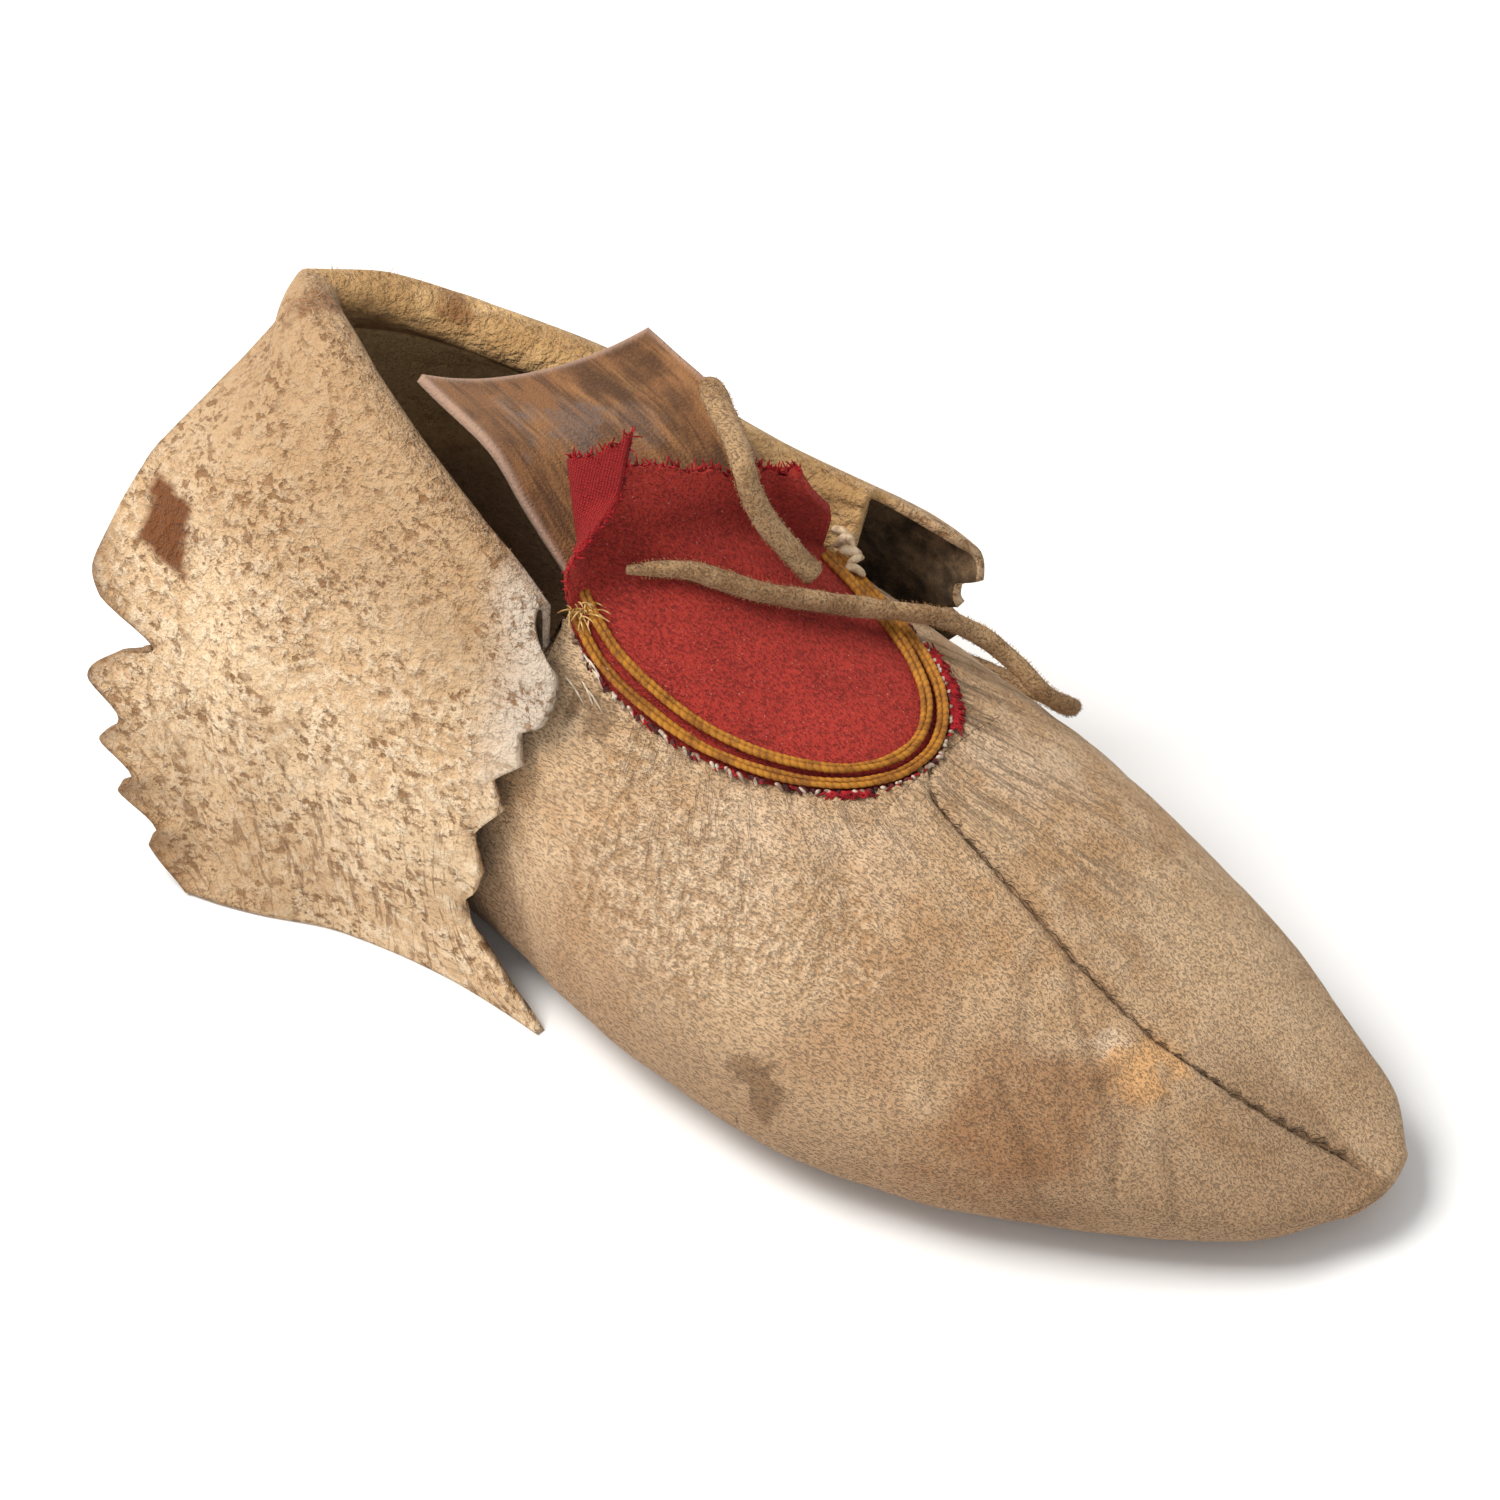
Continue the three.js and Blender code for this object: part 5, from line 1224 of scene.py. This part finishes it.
def wool_material():
    """Felted red wool with a slanted nap, pale specks and a painted highlight on its felt; its reverse is brighter
    and shows the weave.
    """
    material, tree, place, _ = new_material("red_wool")
    cloud = noise(tree, place, 90, 3, 0.5)
    felt = noise(tree, place, 1500, 4, 0.7)
    hair = fibres(tree, place, 2400, 0.25, 0.5, 0.16)
    fluff = noise(tree, place, 2600, 1, 0.5)
    colour = tint(tree, spread(tree, cloud, 0.35, 0.65), (0.31, 0.025, 0.018), (0.43, 0.037, 0.026))
    # Painted highlight: lighter red where the felt's bump stands up.
    colour = tint(tree, spread(tree, felt, 0.35, 0.7, 0.0, 0.6), colour, (0.52, 0.06, 0.042))
    colour = tint(tree, reckon(tree, "MULTIPLY", hair, 0.45), colour, (0.15, 0.011, 0.011))
    colour = tint(tree, spread(tree, fluff, 0.70, 0.78, 0.0, 0.6), colour, (0.70, 0.36, 0.29))
    bright = reckon(tree, "MULTIPLY", painted(tree, "reverse"), 0.85)
    threads = []
    for direction in ("Z", "X"):
        wave = node(tree, "ShaderNodeTexWave", wave_type="BANDS", bands_direction=direction)
        tree.links.new(place, wave.inputs["Vector"])
        for name, value in (("Scale", 620.0), ("Distortion", 2.5), ("Detail", 1.0), ("Detail Scale", 1.0)):
            wave.inputs[name].default_value = value
        threads.append(wave.outputs["Fac"])
    weave = reckon(tree, "MULTIPLY", *threads)
    woven = tint(tree, spread(tree, weave, 0.0, 0.5), (0.26, 0.008, 0.01), (0.58, 0.02, 0.026))
    colour = tint(tree, bright, colour, woven)
    height = plus(tree, plus(tree, felt, hair, -0.5), reckon(tree, "MULTIPLY", bright, weave), 1.6)
    surface(tree, colour, 0.96, height, 0.0004, 0.06, (1.0, 0.42, 0.35))
    return material


cloth_points, cloth_masks = make_cloth_mesh()
cloth = build_piece(
    "wool_cloth", cloth_points, grid_faces(*cloth_points.shape[:2]), None, cloth_masks, wool_material(),
)
close_mesh(cloth)
add_wall(cloth, CLOTH_WALL, 0)
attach(cloth, "root")
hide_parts("vamp_cloth")


# Edging: two rows of ochre thread wrapped closely round a cord follow the U on the cloth's edge.

EDGING_WIDTH = 2.6
EDGING_RAISED = 0.9
EDGING_PITCH = 1.1
EDGING_END_CLEAR = 1.8
WRAP_PITCH = 1.35


def throat_path(inset, count):
    """Points in plan spread evenly round the U from its outer to its inner end, and the length gone."""
    outer_end = rim_front(-1) + EDGING_WIDTH / 4
    inner_end = throat_back(THROAT_CENTRE + THROAT_HALF_WIDTH) + EDGING_END_CLEAR * EDGING_WIDTH
    straight = np.linspace(outer_end, THROAT_START, 40)[:-1]
    reach = THROAT_ROUND - inset
    last = np.arccos(np.clip((inner_end - THROAT_START) / reach, 0, 1))
    angle = np.linspace(-np.pi / 2, last, 400)
    x = THROAT_START + reach * np.cos(angle)
    plan = np.concatenate([
        np.stack([straight, throat_middle(straight) - throat_half(straight, inset)], axis=1),
        np.stack([x, throat_middle(x) + (THROAT_HALF_WIDTH - inset) * np.sin(angle)], axis=1),
    ])
    gone = np.concatenate([[0], np.cumsum(np.linalg.norm(np.diff(plan, axis=0), axis=1))])
    at = np.linspace(0, gone[-1], count)
    return np.stack([np.interp(at, gone, plan[:, k]) for k in (0, 1)], axis=1), at


def wrapped_material():
    """Ochre-gold thread with a low sheen and a painted highlight on its fine grain, darker with painted shade where
    one turn sinks against the next and where the two cords meet.
    """
    material, tree, place, _ = new_material("ochre_thread")
    worn = noise(tree, place, 260, 3, 0.6)
    fine = noise(tree, place, 2400, 2, 0.6)
    colour = tint(tree, spread(tree, worn, 0.38, 0.62), (0.27, 0.09, 0.008), (0.50, 0.20, 0.018))
    # Painted highlight: lighter specks where the fine bump stands up.
    colour = tint(tree, spread(tree, fine, 0.45, 0.7, 0.0, 0.35), colour, (0.62, 0.29, 0.045))
    # Painted shade in the grooves between turns and between the cords.
    colour = tint(tree, reckon(tree, "MULTIPLY", painted(tree, "sunk"), 0.62), colour, (0.08, 0.03, 0.009))
    surface(tree, colour, 0.6, fine, 0.00012, 0.03, (1.0, 0.85, 0.6))
    return material


OCHRE = wrapped_material()
EDGING_RINGS, EDGING_SIDES = 700, 12
CORD_APART = 0.48
CORD_RADIUS = 0.58


def make_edging(name, node_name, row):
    """One wrapped row: two fine cords side by side that sway a little, each with its turns of thread
    standing up as slanting ridges. The cosine of the length gone and the angle round gives a turn."""
    plan, at = throat_path(EDGING_WIDTH * (0.5 + EDGING_PITCH * row), EDGING_RINGS)
    ahead = unit(np.gradient(plan, axis=0))
    outward = np.column_stack([ahead[:, 1], -ahead[:, 0]])
    middle = np.column_stack([plan, skin_top(plan[:, 0], plan[:, 1]) + EDGING_RAISED])
    around = np.linspace(0, 2 * np.pi, EDGING_SIDES, endpoint=False)[None, :]
    tubes, hollows = [], []
    for place in (-1, 1):
        seed = 91 + 2 * row + place
        sway = place * CORD_APART + 0.16 * lumps(middle, 6, seed)
        path = middle.copy()
        path[:, :2] += outward * sway[:, None]
        path[:, 2] += 0.14 * lumps(middle, 7, seed + 10)
        wave = np.cos(2 * np.pi * at[:, None] / WRAP_PITCH + around + 1.2 * lumps(path, 5, seed + 20)[:, None])
        radius = CORD_RADIUS * (1 + 0.08 * lumps(path, 3, seed + 30))
        tube, faces = closed_tube(path, radius, radius, EDGING_SIDES, 0.04, seed + 40, 0.035 * wave)
        # Painted shade: the grooves between turns and the sides where the two cords meet.
        inward = np.exp(-((np.cos(around) + place) / 0.5) ** 2)
        hollow = np.clip(0.8 * np.clip(-wave * 1.4 - 0.5, 0, 1) + 0.55 * inward, 0, 1)
        tubes.append(tube)
        hollows.append(np.concatenate([hollow[:1], hollow, hollow[-1:]]))
    faces = np.concatenate([faces, faces + tubes[0].shape[0] * EDGING_SIDES])
    sunk = {"sunk": np.concatenate(hollows)}
    piece = build_piece(name, np.concatenate(tubes), faces, masks=sunk, material=OCHRE)
    close_mesh(piece)
    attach(piece, "root")
    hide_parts(node_name)


make_edging("wrapped_row_outer", "quill_edging_outer", 0)
make_edging("wrapped_row_inner", "quill_edging_inner", 1)


# Tongue: a cupped piece of brown suede that rises from behind the flap, its cut edge pale.

TONGUE_WALL = 1.8
TONGUE_CUP = 5.0
# Share along, then x, y, z of the outer edge and of the inner edge.
TONGUE_ROWS = np.array([
    (0.00, -0.158, -0.165, 0.785, -0.090, 0.240, 0.700),
    (0.15, -0.184, -0.160, 0.850, -0.120, 0.270, 0.760),
    (0.30, -0.205, -0.155, 0.900, -0.148, 0.295, 0.812),
    (0.60, -0.240, -0.145, 0.990, -0.195, 0.325, 0.870),
    (1.00, -0.316, -0.122, 1.043, -0.260, 0.340, 0.913),
])
TONGUE_GRID = 80


def make_tongue_mesh():
    """The cupped sheet with small folds, and a mask of its cut edges."""
    along = np.linspace(0, 1, TONGUE_GRID)
    across = np.linspace(0, 1, TONGUE_GRID)[None, :, None]
    scale = np.array([FOOT_LENGTH, BALL_WIDTH, HEEL_HEIGHT])
    columns = np.stack([smooth(along, TONGUE_ROWS[:, 0], TONGUE_ROWS[:, k]) for k in range(1, 7)], axis=1)
    outer, inner = columns[:, None, :3] * scale, columns[:, None, 3:] * scale
    grid = outer * (1 - across) + inner * across
    grid[..., 2] -= TONGUE_CUP * (4 * across * (1 - across))[..., 0] * along[:, None]
    slack = 0.3 * lumps(grid, 14, 101) + 0.14 * lumps(grid, 5, 102)
    grid = grid + surface_normals(grid) * slack[..., None]
    beside = np.minimum(across[..., 0], 1 - across[..., 0]) * 40
    edge = np.minimum(beside, (1 - along[:, None]) * 36)
    blue = blob(grid, (-54, 1.5, 91), 10, 103, 0.7) + 0.5 * blob(grid, (-50, 14, 88), 8, 105, 0.7)
    sheet = np.stack([along[:, None] * 45 + 0 * across[..., 0], across[..., 0] * 42 + 0 * along[:, None]], axis=-1)
    return grid, sheet, {"cut": np.exp(-((edge / 0.7) ** 2)), "blue": np.clip(blue, 0, 1)}


def suede_material():
    """Brown suede, streaked along its length and blotched blue-grey, with a painted highlight on its grain."""
    material, tree, place, sheet = new_material("brown_suede")
    cloud = noise(tree, place, 80, 4, 0.6)
    streak = fibres(tree, sheet, 260, 0.12, 0.46, 0.22)
    fine_streak = fibres(tree, sheet, 620, 0.1, 0.48, 0.14)
    grain = noise(tree, place, 1900, 3, 0.6)
    colour = tint(tree, spread(tree, cloud, 0.40, 0.60), (0.11, 0.05, 0.023), (0.27, 0.12, 0.048))
    colour = tint(tree, reckon(tree, "MULTIPLY", streak, 0.8), colour, (0.43, 0.205, 0.08))
    colour = tint(tree, reckon(tree, "MULTIPLY", fine_streak, 0.65), colour, (0.085, 0.04, 0.02))
    ragged = reckon(tree, "MULTIPLY", painted(tree, "blue"), spread(tree, grain, 0.4, 0.6, 0.3, 1.0))
    colour = tint(tree, reckon(tree, "MULTIPLY", ragged, 0.6), colour, (0.17, 0.155, 0.155))
    # Painted highlight: lighter where the grain's bump stands up.
    colour = tint(tree, spread(tree, grain, 0.5, 0.75, 0.0, 0.25), colour, (0.38, 0.20, 0.09))
    colour = tint(tree, reckon(tree, "MULTIPLY", painted(tree, "cut"), 0.8), colour, (0.48, 0.31, 0.23))
    surface(tree, colour, 0.94, grain, 0.0004, 0.12, (1.0, 0.85, 0.7))
    return material


tongue_points, tongue_map, tongue_masks = make_tongue_mesh()
tongue = build_piece(
    "suede_tongue", tongue_points, grid_faces(TONGUE_GRID, TONGUE_GRID), tongue_map * MM, tongue_masks,
    suede_material(),
)
close_mesh(tongue)
add_wall(tongue, TONGUE_WALL, 0)
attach(tongue, "root")
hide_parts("tongue")


# Thread and frays: a dark thread whips the centre seam, small pale stitches hold the cloth's edge to the
# puckered hide, and red wool, straw and pale threads fray out where the rows and the cloth end.

RANDOM = np.random.default_rng(47)


def strands(name, starts, bends, ends, radius, material, slot, steps=7, around=5):
    """Many thin threads in one mesh. Each is a quadratic curve through its middle point, thinner at its
    ends and closed there."""
    starts, bends, ends = (np.asarray(p, float) for p in (starts, bends, ends))
    t = np.linspace(0, 1, steps)[None, :, None]
    control = (2 * bends - 0.5 * (starts + ends))[:, None]
    path = (1 - t) ** 2 * starts[:, None] + 2 * t * (1 - t) * control + t * t * ends[:, None]
    tangent = unit(np.gradient(path, axis=1))
    side = unit(np.cross(tangent, (0.31, 0.22, 1.0)))
    up = np.cross(side, tangent)
    angle = np.linspace(0, 2 * np.pi, around, endpoint=False)
    ring = np.cos(angle)[:, None] * side[:, :, None] + np.sin(angle)[:, None] * up[:, :, None]
    thickness = np.broadcast_to(radius, len(starts))[:, None] * (0.45 + 0.55 * np.sin(np.pi * t[..., 0]) ** 0.5)
    tube = path[:, :, None] + thickness[..., None, None] * ring
    first = np.repeat(path[:, :1, None], around, axis=2)
    last = np.repeat(path[:, -1:, None], around, axis=2)
    tube = np.concatenate([first, tube, last], axis=1)
    faces = grid_faces(steps + 2, around, round_columns=True)
    shift = np.arange(len(starts))[:, None, None] * ((steps + 2) * around)
    piece = build_piece(name, tube, (faces[None] + shift).reshape(-1, 4), material=material)
    close_mesh(piece)
    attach(piece, "root")


def thread_material(name, dark, light):
    """Plain thread whose colour wanders between two tones."""
    material, tree, place, _ = new_material(name)
    colour = tint(tree, spread(tree, noise(tree, place, 700, 2), 0.35, 0.65), dark, light)
    surface(tree, colour, 0.9, noise(tree, place, 4000, 2), 0.0001)
    return material


def on_skin(x, y, lift):
    """Points that stand a little above the hide at places in plan."""
    return np.column_stack([x, y, skin_top(x, y) + lift])


def sew_seam():
    """The whipping: a wandering thread in the seam with a slanting stitch over it every 3.4 mm."""
    steps = np.arange(29.0, 117.0, 1.7)
    worn = eased(88, 112, steps)
    line = smooth(steps, SEAM_LINE[:, 0], SEAM_LINE[:, 1])
    sway = np.where(np.arange(len(steps)) % 2, 0.28, -0.28) * (1 + 1.3 * worn) + RANDOM.normal(0, 0.1, len(steps))
    knots = on_skin(steps, line + sway, -0.15)
    middle = 0.5 * (knots[:-1] + knots[1:])
    overs = np.arange(30.0, 116.0, 3.4) + RANDOM.uniform(-0.6, 0.6, len(np.arange(30.0, 116.0, 3.4)))
    across = 0.75 + 0.9 * eased(88, 112, overs) * RANDOM.uniform(0.3, 1.4, len(overs))
    lean = RANDOM.uniform(0.3, 1.0, len(overs))
    seam = smooth(overs, SEAM_LINE[:, 0], SEAM_LINE[:, 1])
    first = on_skin(overs - lean, seam - across, 0.15)
    over = on_skin(overs, seam, 0.4)
    last = on_skin(overs + lean, seam + across, 0.15)
    dark = thread_material("seam_thread", (0.06, 0.033, 0.018), (0.20, 0.125, 0.07))
    shares = np.concatenate([0.5 * (worn[:-1] + worn[1:]), eased(60, 100, overs)])
    strands("seam_thread", np.vstack([knots[:-1], first]), np.vstack([middle, over]), np.vstack([knots[1:], last]),
            0.1 + 0.08 * shares, dark, "ochre_thread")


def round_the_u(share, outset, lift, shift=0.0):
    """Points beside the U at shares of its length, a distance outside its edge."""
    plan, at = throat_path(0.0, 600)
    ahead = unit(np.gradient(plan, axis=0))
    outward = np.column_stack([ahead[:, 1], -ahead[:, 0]])
    place = share * at[-1] + shift
    on_edge, off_edge = (
        np.column_stack([np.interp(place, at, values[:, k]) for k in (0, 1)]) for values in (plan, outward)
    )
    spot = on_edge + off_edge * np.reshape(outset, (-1, 1))
    return on_skin(spot[:, 0], spot[:, 1], lift)


def sew_u():
    """Pale stitches over the cloth's edge all round the U, with red wool frayed out between them."""
    count = 92
    share = np.linspace(0.03, 0.99, count) + RANDOM.uniform(-0.003, 0.003, count)
    share = share + RANDOM.normal(0, 0.006, count)
    reach = RANDOM.uniform(0.2, 0.9, count)
    lean = RANDOM.uniform(0.5, 1.7, count) * np.where(RANDOM.uniform(0, 1, count) < 0.85, 1, -1)
    kept = RANDOM.uniform(0, 1, count) < 0.62
    pale = thread_material("pale_thread", (0.26, 0.15, 0.10), (0.66, 0.55, 0.44))
    ends = [round_the_u(share, 0.1, 0.75), round_the_u(share, 0.55 * reach, 0.8, 0.5 * lean),
            round_the_u(share, reach, 0.25, lean)]
    strands("u_stitches", *(points[kept] for points in ends), 0.4, pale, "ochre_thread")
    dark = thread_material("dark_fray", (0.03, 0.012, 0.014), (0.16, 0.03, 0.03))
    strands("dark_stitches", *(points[~kept] for points in ends), 0.42, dark, "ochre_thread")
    tufts = np.concatenate([
        RANDOM.normal(0.70, 0.012, 60), RANDOM.normal(0.745, 0.014, 80), RANDOM.normal(0.79, 0.01, 40),
        RANDOM.normal(0.47, 0.018, 45), RANDOM.uniform(0.05, 0.95, 50),
    ])
    out = np.concatenate([RANDOM.uniform(0.6, 2.9, 180), RANDOM.uniform(0.5, 1.5, 45), RANDOM.uniform(0.3, 0.9, 50)])
    swing = RANDOM.normal(0, 1.3, len(tufts))
    red = thread_material("red_fray", (0.17, 0.007, 0.009), (0.48, 0.018, 0.024))
    strands(
        "red_fringe", round_the_u(tufts, -0.2, 0.4), round_the_u(tufts, 0.5 * out, 0.9, 0.2 * swing),
        round_the_u(tufts, out, RANDOM.uniform(0.1, 0.7, len(tufts)), swing), 0.24, red, "red_cloth",
    )
    top = cloth_points[-1]
    side = cloth_points[BED_ROWS + BACK_ROWS:, 0]
    roots = np.concatenate([np.repeat(top, 2, axis=0), np.repeat(side, 3, axis=0)])
    throw = RANDOM.normal(0, 0.6, roots.shape)
    throw[: 2 * len(top), 2] += 0.9
    strands("cloth_frays", roots - 0.3 * throw, roots + 0.4 * throw, roots + throw, 0.16, red, "red_cloth")


def fray_row_ends():
    """Straw-coloured ends of the wrapping thread and pale threads beside them, and the knots of the
    hide strip where the U meets the cuff on the inner side."""
    plan, _ = throat_path(EDGING_WIDTH, 40)
    root = np.append(plan[1], skin_top(plan[1, 0], plan[1, 1]) + 1.4)
    count = 26
    roots = root + RANDOM.normal(0, 1.1, (count, 3)) * (1, 1, 0.35)
    throw = np.column_stack([
        RANDOM.uniform(-3.5, 6.5, count), RANDOM.uniform(-4.5, 2.5, count), RANDOM.uniform(-0.6, 1.4, count),
    ])
    straw = thread_material("straw_fray", (0.36, 0.19, 0.05), (0.72, 0.49, 0.20))
    strands("straw_hairs", roots, roots + 0.5 * throw + (0, 0, 0.7), roots + throw, 0.15, straw, "ochre_thread")
    spots = np.column_stack([RANDOM.uniform(-31, -23, 7), RANDOM.uniform(-29, -25, 7)])
    turn = np.column_stack([RANDOM.uniform(3, 6, 7), RANDOM.uniform(-2.4, 0.6, 7)])
    pale = thread_material("pale_fray", (0.50, 0.40, 0.28), (0.80, 0.70, 0.56))
    first, last = spots, spots + turn
    half = 0.5 * (first + last)
    strands("pale_threads", on_skin(*first.T, 0.5), on_skin(*half.T, 1.1), on_skin(*last.T, 0.5), 0.22, pale,
            "ochre_thread")
    knots = np.array([
        (-16.6, 31.4, 67.0), (-14.6, 29.6, 67.8), (-13.2, 29.4, 68.6), (-11.4, 27.2, 68.4), (-9.8, 26.6, 67.6),
        (-8.2, 24.6, 67.8),
    ])
    lay = np.array([
        (2.0, 0.4, -0.6), (0.8, 1.7, 0.4), (1.6, -0.9, 0.2), (1.5, 1.2, -0.5), (0.5, 1.7, 0.3), (1.4, 0.9, -0.7),
    ])
    knot_hide = thread_material("knot_hide", (0.48, 0.33, 0.20), (0.80, 0.62, 0.42))
    size = np.array([0.8, 0.95, 0.7, 1.0, 0.75, 0.85])
    strands("seam_knots", knots - lay, knots + (0, 0, 0.9), knots + lay, size, knot_hide, "buckskin", 10, 12)


def raise_fuzz(name, route, widths, count, material):
    """Short hairs on a strand of the tie: roots on its oval skin at random, tips leaning along it."""
    path, _ = curve_through(route, 200)
    tangent, side, up = frames_along(path)
    at = RANDOM.integers(2, 198, count)
    table = np.array(widths)
    wide = smooth(at / 199, table[:, 0], table[:, 1])[:, None]
    thick = smooth(at / 199, table[:, 0], table[:, 2])[:, None]
    angle = RANDOM.uniform(0, 2 * np.pi, (count, 1))
    outward = np.cos(angle) * side[at] + np.sin(angle) * up[at]
    roots = path[at] + np.cos(angle) * wide * side[at] + np.sin(angle) * thick * up[at]
    length = RANDOM.uniform(0.2, 0.55, (count, 1))
    lean = tangent[at] * RANDOM.normal(0.7, 0.8, (count, 1)) + RANDOM.normal(0, 0.25, (count, 3))
    bends = roots + 0.5 * length * unit(outward + 0.2 * lean)
    tips = roots + length * unit(outward + lean)
    strands(name, roots - 0.2 * outward, bends, tips, 0.045, material, "tie_hide", 4, 3)


def raise_crest_hairs():
    """Pale hairs standing off the crest of the cuff's roll, most of them leaning outwards."""
    count = 1300
    columns = RANDOM.integers(2, len(cuff_points) - 2, count)
    rows = SEAM_ROWS + RANDOM.integers(9, 16, count)
    roots = cuff_points[columns, rows] + (0, 0, 0.45 * CUFF_WALL)
    throw = RANDOM.normal(0, 0.55, (count, 3)) + (0, 0, 0.7)
    hair = thread_material("crest_hair", (0.34, 0.19, 0.09), (0.80, 0.62, 0.42))
    strands("crest_hairs", roots - 0.2 * throw, roots + 0.4 * throw, roots + throw, 0.06, hair, "speckled_hide", 4, 3)


sew_seam()
sew_u()
fray_row_ends()
FUZZ = thread_material("tie_fuzz", (0.25, 0.12, 0.045), (0.60, 0.38, 0.19))
raise_fuzz("tie_inner_fuzz", INNER_ROUTE, INNER_WIDTHS, 1500, FUZZ)
raise_fuzz("tie_outer_fuzz", OUTER_ROUTE, OUTER_WIDTHS, 3200, FUZZ)
raise_crest_hairs()
